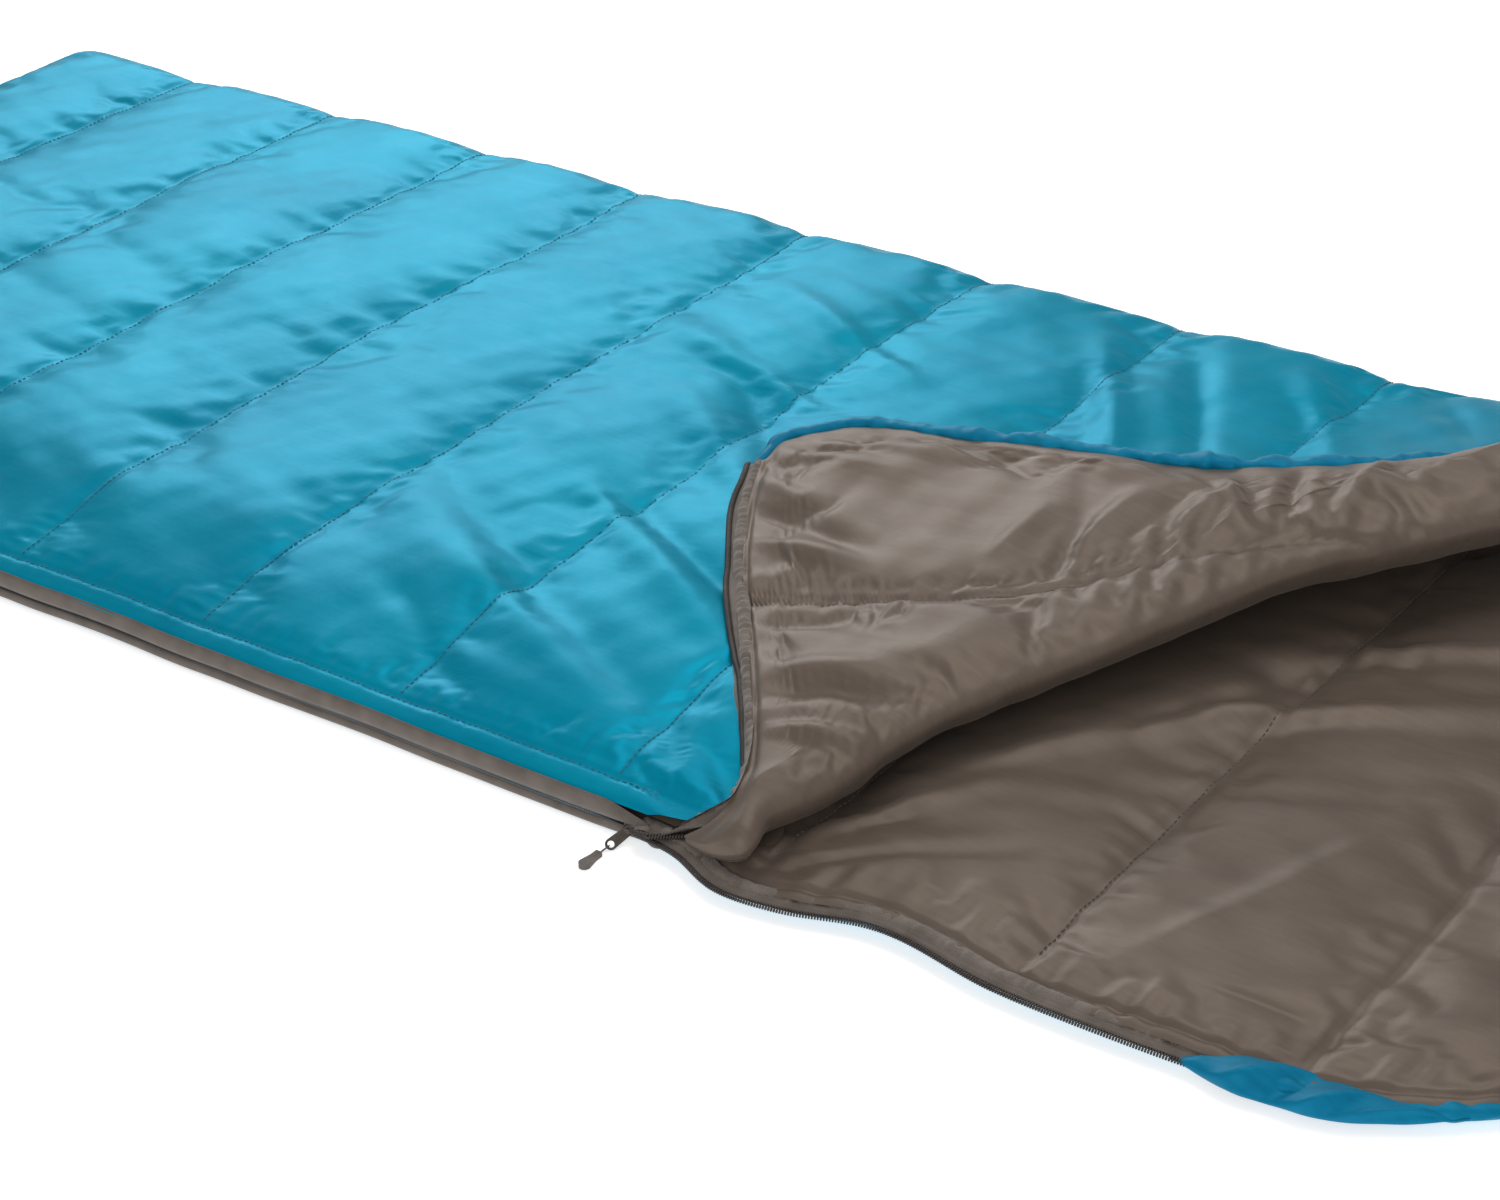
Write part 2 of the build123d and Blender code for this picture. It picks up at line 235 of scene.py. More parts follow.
def inflate(points, free, extra_cloth, pressure, cap):
    """Cloth simulation of a padded panel: how far each grid point moves when the filling swells it.

    It runs on every second point of the grid, and the points between follow on a smooth curve.
    free is 0 where the panel is sewn down and 1 where it may move; extra_cloth is the share by
    which the fabric is longer than the panel it is sewn to, which makes it wrinkle; cap is the
    most that a point may move, in metres.
    """
    coarse = points[::2, ::2]
    loose = free[::2, ::2]
    rows, columns = coarse.shape[:2]
    faces = grid_faces(rows, columns)
    if grid_normals(coarse)[rows // 2, columns // 2, 2] < 0:
        faces = [f[::-1] for f in faces]
    mesh = bpy.data.meshes.new("panel_in_simulation")
    mesh.from_pydata(coarse.reshape(-1, 3).tolist(), [], faces)
    panel = bpy.data.objects.new("panel_in_simulation", mesh)
    bpy.context.scene.collection.objects.link(panel)
    sewn = panel.vertex_groups.new(name="sewn")
    hold = 1 - loose.ravel()
    for index in np.nonzero(hold > 0.01)[0]:
        sewn.add([int(index)], float(hold[index]), "REPLACE")
    modifier = panel.modifiers.new("cloth", "CLOTH")
    settings = modifier.settings
    settings.quality = 5
    settings.mass = 0.25
    settings.tension_stiffness = 15
    settings.compression_stiffness = 15
    settings.shear_stiffness = 4
    settings.bending_stiffness = 0.12
    settings.air_damping = 2
    settings.vertex_group_mass = "sewn"
    settings.pin_stiffness = 1
    settings.shrink_min = -extra_cloth
    settings.use_pressure = True
    settings.uniform_pressure_force = pressure
    settings.effector_weights.gravity = 0
    modifier.collision_settings.use_collision = False
    modifier.point_cache.frame_start = 1
    modifier.point_cache.frame_end = LAST_FRAME
    scene = bpy.context.scene
    for step in range(1, LAST_FRAME + 1):
        scene.frame_set(step)
    view = bpy.context.evaluated_depsgraph_get()
    swollen = panel.evaluated_get(view).to_mesh()
    moved = np.empty(len(swollen.vertices) * 3)
    swollen.vertices.foreach_get("co", moved)
    moves = moved.reshape(coarse.shape) - coarse
    bpy.data.objects.remove(panel)
    scene.frame_set(1)
    size = np.linalg.norm(moves, axis=-1, keepdims=True)
    moves *= np.tanh(size / cap) * cap / np.maximum(size, 1e-9) * loose[..., None]
    return finer(finer(moves, 0), 1)


def frames_along(path, up=(0, 0, 1)):
    """Directions along a path of points, to its side, and up."""
    along = unit(np.gradient(path, axis=0))
    up = np.broadcast_to(np.array(up, float), path.shape)
    side = unit(np.cross(along, up))
    return along, side, np.cross(side, along)


def distances(path):
    """How far along a path each of its points is."""
    return np.r_[0, np.cumsum(np.linalg.norm(np.diff(path, axis=0), axis=1))]


def resample(path, step):
    """Points at even steps along a path, and how far along it each one is."""
    path = np.asarray(path, float)
    run = distances(path)
    count = max(3, int(run[-1] / step) + 1)
    at = np.linspace(0, run[-1], count)
    return np.stack([np.interp(at, run, path[:, k]) for k in range(3)], 1), at


def tube(name, path, radius, material, sides=8, flat=1.0, up=(0, 0, 1)):
    """A tube along a path; radius is one number or one for each point."""
    path = np.asarray(path, float)
    _, side, above = frames_along(path, up)
    turn = np.linspace(0, 2 * math.pi, sides, endpoint=False)
    radius = np.broadcast_to(np.asarray(radius, float), (len(path),))
    ring = (
        path[:, None]
        + radius[:, None, None] * np.cos(turn)[None, :, None] * side[:, None]
        + flat * radius[:, None, None] * np.sin(turn)[None, :, None] * above[:, None]
    )
    return new_mesh(name, ring.reshape(-1, 3).tolist(), capped_faces(len(path), sides), material)


def coil(name, path, radius, pitch, material, up=(0, 0, 1)):
    """A zip's coil: a wire wound into close turns along the path, flattened to the tape."""
    middle, at = resample(path, pitch / 10)
    _, side, above = frames_along(middle, up)
    turn = at / pitch * 2 * math.pi
    wire = middle + radius * np.cos(turn)[:, None] * side + 0.8 * radius * np.sin(turn)[:, None] * above
    return tube(name, wire, radius * 0.42, material, sides=5, up=up)


def ribbon(name, path, across, width, thick, material, columns=5, bow=0.0):
    """A flat strip along a path, reaching width along the across directions, with real thickness."""
    path = np.asarray(path, float)
    along = np.gradient(path, axis=0)
    across = unit(across)
    face = unit(np.cross(along, across))
    t = np.linspace(0, 1, columns)
    width = np.broadcast_to(np.asarray(width, float), (len(path),))
    top = path[:, None] + across[:, None] * (t[None, :, None] * width[:, None, None])
    top = top + face[:, None] * (bow * np.sin(np.pi * t))[None, :, None]
    ring = np.concatenate([top + face[:, None] * thick / 2, (top - face[:, None] * thick / 2)[:, ::-1]], 1)
    return new_mesh(name, ring.reshape(-1, 3).tolist(), capped_faces(len(path), 2 * columns), material)


def stitches(name, path, normals, length, gap, radius, material):
    """Thread along a sewn line: one short raised dash after another."""
    points, faces = [], []
    place = gap
    turn = np.linspace(0, 2 * math.pi, 6, endpoint=False)
    stations = [0.0, 0.2, 0.8, 1.0]
    lifts = [-0.4, 0.5, 0.5, -0.4]
    sizes = [0.5, 1.0, 1.0, 0.5]
    coarse = distances(path)
    while place + length < coarse[-1]:
        start = len(points)
        for station, lift, size in zip(stations, lifts, sizes):
            where = place + station * length
            middle = np.array([np.interp(where, coarse, path[:, k]) for k in range(3)])
            ahead = np.array([np.interp(where + 0.001, coarse, path[:, k]) for k in range(3)])
            up = np.array([np.interp(where, coarse, normals[:, k]) for k in range(3)])
            up /= np.linalg.norm(up)
            forward = ahead - middle
            forward /= max(np.linalg.norm(forward), 1e-9)
            side = np.cross(forward, up)
            for angle in turn:
                out = side * math.cos(angle) + up * math.sin(angle)
                points.append(middle + up * lift * radius + out * radius * size)
        for ring in range(3):
            for k in range(6):
                a, b = start + ring * 6 + k, start + ring * 6 + (k + 1) % 6
                faces.append([a, b, b + 6, a + 6])
        faces.append([start + k for k in range(6)][::-1])
        faces.append([start + 18 + k for k in range(6)])
        place += length + gap
    return new_mesh(name, [p.tolist() for p in points], faces, material)


# ---- materials ------------------------------------------------------------------------------
class Nodes:
    """Short names for building one material's nodes."""

    def __init__(self, name):
        self.material = bpy.data.materials.new(name)
        self.material.use_nodes = True
        self.tree = self.material.node_tree
        self.shader = self.tree.nodes["Principled BSDF"]
        self.place = self.add("ShaderNodeTexCoord").outputs["Object"]

    def add(self, kind, **settings):
        node = self.tree.nodes.new(kind)
        for key, value in settings.items():
            setattr(node, key, value)
        return node

    def link(self, source, target):
        self.tree.links.new(source, target)

    def noise(self, scale, detail=2.0, rough=0.5, stretch=None):
        node = self.add("ShaderNodeTexNoise")
        node.inputs["Scale"].default_value = scale
        node.inputs["Detail"].default_value = detail
        node.inputs["Roughness"].default_value = rough
        if stretch is None:
            self.link(self.place, node.inputs["Vector"])
        else:
            mapping = self.add("ShaderNodeMapping")
            mapping.inputs["Scale"].default_value = stretch
            self.link(self.place, mapping.inputs["Vector"])
            self.link(mapping.outputs["Vector"], node.inputs["Vector"])
        return node.outputs["Fac"]

    def bands(self, scale, direction, distortion=0.0):
        node = self.add("ShaderNodeTexWave", wave_type="BANDS", bands_direction=direction)
        node.inputs["Scale"].default_value = scale
        node.inputs["Distortion"].default_value = distortion
        self.link(self.place, node.inputs["Vector"])
        return node.outputs["Fac"]

    def math(self, operation, a, b=None):
        node = self.add("ShaderNodeMath", operation=operation)
        for k, value in enumerate((a, b)):
            if value is None:
                continue
            if isinstance(value, (int, float)):
                node.inputs[k].default_value = value
            else:
                self.link(value, node.inputs[k])
        return node.outputs["Value"]

    def colours(self, factor, *stops):
        node = self.add("ShaderNodeValToRGB")
        ramp = node.color_ramp
        while len(ramp.elements) < len(stops):
            ramp.elements.new(0.5)
        for element, (place, colour) in zip(ramp.elements, stops):
            element.position = place
            element.color = (*colour, 1)
        self.link(factor, node.inputs["Fac"])
        self.link(node.outputs["Color"], self.shader.inputs["Base Color"])

    def between(self, factor, low, high, target):
        node = self.add("ShaderNodeMapRange")
        node.inputs["To Min"].default_value = low
        node.inputs["To Max"].default_value = high
        self.link(factor, node.inputs["Value"])
        self.link(node.outputs["Result"], self.shader.inputs[target])

    def bump(self, *layers):
        """Stacks (height, strength, distance) layers of bump."""
        normal = None
        for height, strength, distance in layers:
            node = self.add("ShaderNodeBump")
            node.inputs["Strength"].default_value = strength
            node.inputs["Distance"].default_value = distance
            self.link(height, node.inputs["Height"])
            if normal is not None:
                self.link(normal, node.inputs["Normal"])
            normal = node.outputs["Normal"]
        self.link(normal, self.shader.inputs["Normal"])

    def set(self, **values):
        for key, value in values.items():
            self.shader.inputs[key.replace("_", " ")].default_value = value


def fabric(name, dark, middle, light, rough, sheen, sheen_tint, weave, wrinkle, satin, gloss):
    """Satin polyester: fine weave, faint streaks along the threads and small random wrinkles."""
    m = Nodes(name)
    cloud = m.noise(5.0, 4.0, 0.6)
    streak = m.noise(30.0, 3.0, 0.6, stretch=(1.0, 9.0, 1.0))
    mixed = m.math("ADD", m.math("MULTIPLY", cloud, 0.7), m.math("MULTIPLY", streak, 0.3))
    m.colours(mixed, (0.3, dark), (0.5, middle), (0.72, light))
    m.between(m.noise(18.0, 3.0), rough - 0.05, rough + 0.07, "Roughness")
    threads = m.math("ADD", m.bands(weave, "X", 0.4), m.bands(weave, "Y", 0.4))
    rub = m.noise(70.0, 5.0, 0.65, stretch=(1.0, 0.45, 1.0))
    soft = m.noise(16.0, 4.0, 0.55, stretch=(1.0, 0.6, 1.0))
    m.bump((soft, 0.14 * wrinkle, 0.004), (rub, 0.3 * wrinkle, 0.001), (threads, 0.18, 0.0002))
    m.set(Sheen_Weight=sheen, Sheen_Roughness=0.35, Specular_IOR_Level=gloss, Metallic=satin)
    m.shader.inputs["Sheen Tint"].default_value = (*sheen_tint, 1)
    m.shader.inputs["Specular Tint"].default_value = (*sheen_tint, 1)
    return m.material


def tape_material(name, dark, light, rib):
    m = Nodes(name)
    m.colours(m.noise(60.0, 4.0), (0.3, dark), (0.7, light))
    m.set(Roughness=0.78, Sheen_Weight=0.25, Sheen_Roughness=0.5)
    ribs = m.math("ADD", m.bands(rib, "DIAGONAL", 0.3), m.bands(rib * 1.3, "Z", 0.3))
    m.bump((m.noise(220.0, 3.0), 0.3, 0.0006), (ribs, 0.5, 0.0004))
    return m.material


def hard_material(name, dark, light, rough, metallic, grain, coat=0.0):
    m = Nodes(name)
    m.colours(m.noise(90.0, 5.0, 0.65), (0.32, dark), (0.7, light))
    m.between(m.noise(300.0, 3.0), rough - 0.08, rough + 0.12, "Roughness")
    m.set(Metallic=metallic, Coat_Weight=coat, Coat_Roughness=0.25)
    m.bump((m.noise(700.0, 4.0), grain, 0.0003), (m.noise(120.0, 2.0), grain * 0.6, 0.0006))
    return m.material


SHELL = fabric(
    "shell_satin", (0.0, 0.205, 0.33), (0.0, 0.25, 0.385), (0.001, 0.295, 0.435),
    0.35, 0.0, (0.45, 0.85, 1.0), 330.0, 1.0, 0.34, 0.1,
)
LINING = fabric(
    "lining_taffeta", (0.095, 0.071, 0.055), (0.122, 0.093, 0.073), (0.15, 0.117, 0.094),
    0.42, 0.10, (1.0, 0.93, 0.87), 330.0, 0.9, 0.2, 0.3,
)
HEM = fabric(
    "hem_satin", (0.001, 0.12, 0.235), (0.002, 0.165, 0.3), (0.006, 0.21, 0.36),
    0.45, 0.03, (0.45, 0.85, 1.0), 400.0, 1.2, 0.15, 0.15,
)
TAPE = tape_material("zip_tape_twill", (0.085, 0.066, 0.053), (0.14, 0.112, 0.092), 260.0)
RUCHED = tape_material("ruched_strip", (0.11, 0.088, 0.07), (0.17, 0.14, 0.118), 300.0)
COIL = hard_material("zip_coil_nylon", (0.022, 0.017, 0.015), (0.05, 0.04, 0.035), 0.42, 0.0, 0.25)
METAL = hard_material("slider_bronze", (0.05, 0.04, 0.034), (0.12, 0.098, 0.084), 0.4, 0.55, 0.35)
RUBBER = hard_material("pull_tab_rubber", (0.085, 0.07, 0.06), (0.14, 0.118, 0.1), 0.6, 0.0, 0.5)
CORD = tape_material("pull_cord_braid", (0.03, 0.022, 0.018), (0.07, 0.055, 0.045), 700.0)
WEBBING = tape_material("webbing_blue", (0.004, 0.13, 0.23), (0.01, 0.2, 0.33), 300.0)
THREAD_BLUE = tape_material("thread_blue", (0.004, 0.14, 0.25), (0.008, 0.19, 0.33), 1500.0)
THREAD_BROWN = tape_material("thread_brown", (0.075, 0.06, 0.048), (0.12, 0.1, 0.08), 1500.0)


# ---- the shape of the lower panel's zip edge ------------------------------------------------
near_edge = through([
    (FOOT_X + from_foot, NEAR_Y - outward)
    for from_foot, outward in (
        (0, 0), (1.2, 0), (1.31, 0.003), (1.354, 0.01), (1.395, 0.026), (1.44, 0.023),
        (1.497, 0.008), (1.598, 0.021), (1.715, 0.021), (1.79, 0.016),
    )
])


def head_outline(x, side):
    """The rounded head section's edge, to one side of the middle."""
    depth = HEAD_X - HOOD_X
    share = np.clip((x - HOOD_X) / depth, 0, 1)
    return side * (FAR_Y * np.sqrt(np.clip(1 - share**2, 0, 1)))


def base_sides(x):
    """The near and far edges of the lower panel at x."""
    past = smooth((x - HOOD_X + 0.03) / 0.08)
    near = near_edge(x) * (1 - past) + past * (head_outline(x, -1.0) - 0.012 * (x < HEAD_X - 0.03))
    near = np.where(x < HOOD_X - 0.03, near_edge(x), near)
    far = np.where(x > HOOD_X, head_outline(x, 1.0), FAR_Y)
    return near, far


# ---- the shape of the fold ------------------------------------------------------------------
# each point is how far along the fold it lies, and then a height or a distance out from the fold line
fold_bottom = through([
    (0, 0.0165), (0.04, 0.019), (0.1, 0.026), (0.2, 0.036), (0.3, 0.046), (0.45, 0.058), (0.6, 0.067),
    (0.88, 0.08),
])
fold_top = through([
    (0, 0.0225), (0.010, 0.033), (0.03, 0.044), (0.1, 0.058), (0.2, 0.07), (0.4, 0.092), (0.6, 0.111),
    (0.88, 0.13),
])
fold_front = through([
    (0, 0.018), (0.007, 0.040), (0.018, 0.057), (0.045, 0.044), (0.09, 0.04), (0.137, 0.024),
    (0.18, 0.012), (0.3, 0.004), (0.48, -0.008), (0.62, 0.014), (0.88, 0.02),
])
flap_edge_out = through([
    (0.0, 0.010), (0.012, 0.014), (0.028, 0.007), (0.052, -0.02), (0.079, -0.074), (0.107, -0.142),
    (0.146, -0.241), (0.184, -0.318), (FLAP_CORNER, -0.375),
])
flap_edge_z = through([
    (0.0, 0.021), (0.012, 0.030), (0.03, 0.040), (0.052, 0.0475), (0.08, 0.053), (0.146, 0.058),
    (FLAP_CORNER, 0.063),
])
hem_out = through([
    (FLAP_CORNER, -0.375), (0.256, -0.377), (0.32, -0.348), (0.354, -0.296), (0.398, -0.239), (0.444, -0.177),
    (0.479, -0.145), (0.523, -0.117), (0.592, -0.084), (0.657, -0.058), (0.76, -0.022), (FOLD_END, 0.0),
])
hem_z = through([
    (FLAP_CORNER, 0.063), (0.32, 0.072), (0.4, 0.087), (0.48, 0.094), (0.6, 0.099), (0.7, 0.105),
    (FOLD_END, 0.12),
])


def to_fold(x, y):
    """A place on the bag as (along the fold, out from it)."""
    dx, dy = x - FOLD_START[0], y - FOLD_START[1]
    return dx * FOLD_DIR[0] + dy * FOLD_DIR[1], dx * FOLD_OUT[0] + dy * FOLD_OUT[1]


def from_fold(s, u):
    """The place on the bag that lies s along the fold and u out from it."""
    return (
        FOLD_START[0] + s * FOLD_DIR[0] + u * FOLD_OUT[0],
        FOLD_START[1] + s * FOLD_DIR[1] + u * FOLD_OUT[1],
    )


def flap_rim(s):
    """The lining's free edge, just inside the zip's tape and the head hem."""
    past_corner = smooth((FLAP_CORNER + 0.03 - s) / 0.03)
    beside_zip = flap_edge_out(s) + ZIP_INSET * smooth(s / 0.06 + 0.3) * past_corner
    return np.where(s <= FLAP_CORNER, beside_zip, hem_out(s) + ZIP_INSET * past_corner)


def cover_gap(s):
    """How thick the padded panel is at the fold."""
    return 0.004 + 0.009 * smooth(s / 0.2)


# ---- the cover ------------------------------------------------------------------------------
def cover_height(x, y):
    """The top of the closed cover."""
    from_near = y - NEAR_Y
    from_far = FAR_Y - y
    from_foot = x - FOOT_X
    crown = 0.030 + 0.005 * smooth(from_near / 0.4)
    near_rise = smooth(from_near / 0.14) * 0.62 + 0.38 * np.sqrt(np.clip(from_near / 0.03, 0, 1))
    far_rise = round_edge(from_far, 0.045)
    foot_rise = round_edge(from_foot, 0.06)
    rise = near_rise * far_rise * foot_rise
    base = EDGE_Z - 0.007 * (1 - far_rise) - 0.007 * (1 - foot_rise)
    puff = quilt(x, y, seam_places(), 0.0044, 0.0012, 11)
    z = base + rise * (crown - 0.007 + puff)
    # broad folds that run from the open corner of the cover towards the foot and the middle
    z += rise * sum(crease(x, y, *fold) for fold in COVER_FOLDS)
    z += rise * (0.0018 * waves(x, y, 0.3, 21) + 0.0009 * waves(x, y * 0.8, 0.1, 22))
    z += rise * 0.00045 * waves(x * 0.7, y, 0.035, 23)
    # gathers along the stitched line beside the zip
    near_line = np.exp(-((from_near - 0.016) / 0.0028) ** 2)
    z -= 0.0014 * near_line
    gathers = waves(x, y * 0.15, 0.014, 24) * 0.7 + waves(x, y * 0.2, 0.03, 25) * 0.5
    z += 0.0008 * gathers * np.exp(-np.abs(from_near - 0.018) / 0.012) * smooth(from_near / 0.006)
    return z


def plan(x, y):
    """A place on the bag, measured from the foot end and from the zip side."""
    return (FOOT_X + x, NEAR_Y + y)


COVER_FOLDS = [
    # start, end, width, height and bow of each
    (plan(1.32, 0.03), plan(0.93, 0.22), 0.030, 0.0075, 0.01),
    (plan(1.30, 0.02), plan(1.02, 0.09), 0.016, 0.0055, 0.0),
    (plan(1.30, 0.06), plan(0.86, 0.33), 0.022, -0.0050, 0.02),
    (plan(1.27, 0.16), plan(0.92, 0.40), 0.020, 0.0060, 0.01),
    (plan(1.25, 0.21), plan(1.00, 0.33), 0.014, -0.0055, 0.0),
    (plan(1.22, 0.28), plan(0.98, 0.47), 0.018, 0.0055, -0.01),
    (plan(1.20, 0.35), plan(1.02, 0.52), 0.012, -0.0045, 0.0),
    (plan(1.36, 0.01), plan(1.16, 0.05), 0.010, -0.0045, 0.0),
    (plan(1.15, 0.03), plan(0.98, 0.13), 0.012, -0.0035, 0.0),
    (plan(1.13, 0.48), plan(0.90, 0.56), 0.014, 0.0040, 0.0),
    (plan(1.16, 0.56), plan(0.96, 0.66), 0.012, 0.0035, 0.0),
    (plan(1.04, 0.02), plan(0.80, 0.17), 0.026, 0.0030, 0.01),
    (plan(0.86, 0.03), plan(0.60, 0.24), 0.035, 0.0032, 0.0),
    (plan(0.70, 0.04), plan(0.52, 0.14), 0.020, -0.0026, 0.0),
    (plan(0.62, 0.40), plan(0.30, 0.62), 0.050, 0.0035, 0.0),
    (plan(0.55, 0.35), plan(0.36, 0.40), 0.030, 0.0035, 0.01),
    (plan(0.30, 0.12), plan(0.12, 0.42), 0.030, -0.0025, 0.0),
    (plan(1.36, 0.52), plan(1.24, 0.72), 0.014, 0.0050, 0.0),
    (plan(1.42, 0.54), plan(1.31, 0.74), 0.012, -0.0045, 0.0),
    (plan(1.50, 0.60), plan(1.40, 0.76), 0.016, 0.0045, 0.0),
    (plan(1.58, 0.66), plan(1.50, 0.77), 0.014, -0.0040, 0.0),
]


def spread(count, ease):
    """Places from 0 to 1, closer together near both ends."""
    t = np.linspace(0, 1, count)
    return t - ease * np.sin(2 * np.pi * t) / (2 * np.pi)


def roll_middle(s):
    """How far out of the fold line the middle of the roll lies."""
    return fold_front(s) - (fold_top(s) - fold_bottom(s)) / 2


def cover_end(y, back=0.0):
    """Where the flat cover stops: under the middle of the roll, or at the head hem."""
    along = np.clip((y - NEAR_Y) / FOLD_DIR[1], 0, None)
    out = (roll_middle(np.clip(along, 0, FOLD_END)) - back) / FOLD_OUT[0]
    return np.minimum(FOLD_START[0] + along * FOLD_DIR[0] + out, MOUTH_X)


def cover_grid():
    rows, columns = 421, 197
    t, q = np.meshgrid(spread(rows, 0.5), spread(columns, 0.55), indexing="ij")
    y = NEAR_Y + (FAR_Y - NEAR_Y) * q
    end = cover_end(y, 0.004 + 0.03 * (1 - smooth((y - NEAR_Y) / 0.07)))
    x = FOOT_X + (end - FOOT_X) * t
    z = cover_height(x, y)
    s, u = to_fold(x, y)
    # towards the fold the cover rises to meet the inside of the roll
    s_in = np.clip(s, 0, FOLD_END)
    lift_to = fold_bottom(s_in) + cover_gap(s_in)
    reach = 0.10 + 0.16 * smooth(s_in / 0.6)
    behind = np.clip((roll_middle(s_in) - u) / reach, 0, 1)
    mix = (1 - smooth(behind)) * smooth(s / 0.03 + 0.5)
    far_side = smooth((FAR_Y - y) / 0.06)
    z = z * (1 - mix * far_side) + lift_to * mix * far_side
    return np.stack([x, y, z], -1)


def place_scallops(points):
    """The far and foot edges swell between the seams."""
    x, y = points[..., 0], points[..., 1]
    puff = quilt(x, y * 0, seam_places(), 1.0, 0.0, 31)
    edge = np.exp(-((FAR_Y - y) / 0.03))
    points[..., 1] -= (0.009 * (1 - puff) + 0.002) * edge
    foot = np.exp(-((x - FOOT_X) / 0.03))
    points[..., 0] += 0.006 * foot * (1 + waves(x * 0, y, 0.25, 33)) * 0.6
    return points


def cover_freedom(points):
    """Where the closed cover may swell: not at its seams, its edges or beside the roll."""
    x, y = points[..., 0], points[..., 1]
    off_seam = smooth((quilt(x, y, seam_places(), 1.0, 0.0, 11) - 0.1) / 0.06)
    off_edge = smooth((y - NEAR_Y - 0.018) / 0.01) * smooth((FAR_Y - 0.016 - y) / 0.02)
    off_end = smooth((x - FOOT_X - 0.016) / 0.02)
    s, u = to_fold(x, y)
    off_roll = np.where(s > -0.01, smooth((roll_middle(np.clip(s, 0, FOLD_END)) - u - 0.012) / 0.05), 1.0)
    off_mouth = smooth((MOUTH_X - 0.012 - x) / 0.02)
    return off_seam * off_edge * off_end * off_roll * off_mouth


cover = place_scallops(cover_grid())
cover = cover + inflate(cover, cover_freedom(cover), 0.012, 0.6, 0.002)
cover_normals = grid_normals(cover)
cover_shell = cloth("cover_shell_cloth", cover, SHELL, up=True)
place_piece(cover_shell, "bag", "shell_fabric", "cover_shell", "cover_fill")


# ---- the turned corner: one sheet round the fold, cut into a roll piece and a flap piece -----
ROLL_COLUMNS = 30
FLAP_COLUMNS = 110
INSIDE_COLUMNS = 14  # this column, counted back from the rim, gives the rim its outward direction
MIDDLE_OF_SHEET = (60, 90)


def flap_rows():
    """How far along the fold each row of the sheet lies."""
    return np.r_[np.linspace(0, FLAP_CORNER, 80)[:-1], np.linspace(FLAP_CORNER, FOLD_END, 160)]


FLAP_FOLDS = [
    # (along, out) start and end, width, height: on the flap's top
    ((0.205, -0.33), (0.235, -0.20), 0.012, 0.0055),
    ((0.185, -0.30), (0.225, -0.17), 0.008, -0.0040),
    ((0.165, -0.25), (0.215, -0.165), 0.010, 0.0050),
    ((0.230, -0.36), (0.310, -0.24), 0.014, 0.0045),
    ((0.26, -0.355), (0.37, -0.22), 0.012, 0.0040),
    ((0.335, -0.30), (0.40, -0.18), 0.010, -0.0040),
    ((0.36, -0.27), (0.45, -0.12), 0.016, 0.0055),
    ((0.29, -0.12), (0.36, -0.16), 0.012, 0.0055),
    ((0.34, -0.095), (0.41, -0.13), 0.010, 0.0055),
    ((0.375, -0.085), (0.45, -0.115), 0.008, -0.0040),
    ((0.40, -0.075), (0.47, -0.095), 0.009, 0.0045),
    ((0.47, -0.11), (0.44, -0.05), 0.008, 0.0050),
    ((0.52, -0.10), (0.46, -0.03), 0.009, -0.0045),
    ((0.58, -0.08), (0.49, -0.02), 0.010, 0.0045),
    ((0.085, -0.07), (0.16, -0.01), 0.011, -0.0045),
    ((0.10, -0.09), (0.17, -0.03), 0.012, 0.0045),
    ((0.12, -0.15), (0.19, -0.10), 0.010, -0.0030),
    ((0.07, -0.03), (0.12, 0.02), 0.009, 0.0040),
    ((0.20, -0.12), (0.26, -0.03), 0.016, 0.0040),
    ((0.15, -0.14), (0.20, -0.05), 0.012, -0.0028),
]
flap_seam = through([
    (0.10, -0.20), (0.14, -0.178), (0.205, -0.123), (0.275, -0.078), (0.353, -0.055), (0.407, -0.045),
    (0.49, -0.02), (0.56, 0.02),
])


def from_flap_seam(s, u):
    """How far a place is from the flap's curved seam, which runs only part of the way."""
    gap = np.abs(u - flap_seam(np.clip(s, 0.1, 0.56))) * 0.75
    return np.where((s > 0.085) & (s < 0.55), gap, 0.5)


def upward_normals(points):
    """Normals on the upper side of the turned corner."""
    normals = grid_normals(points)
    return -normals if normals[MIDDLE_OF_SHEET][2] < 0 else normals


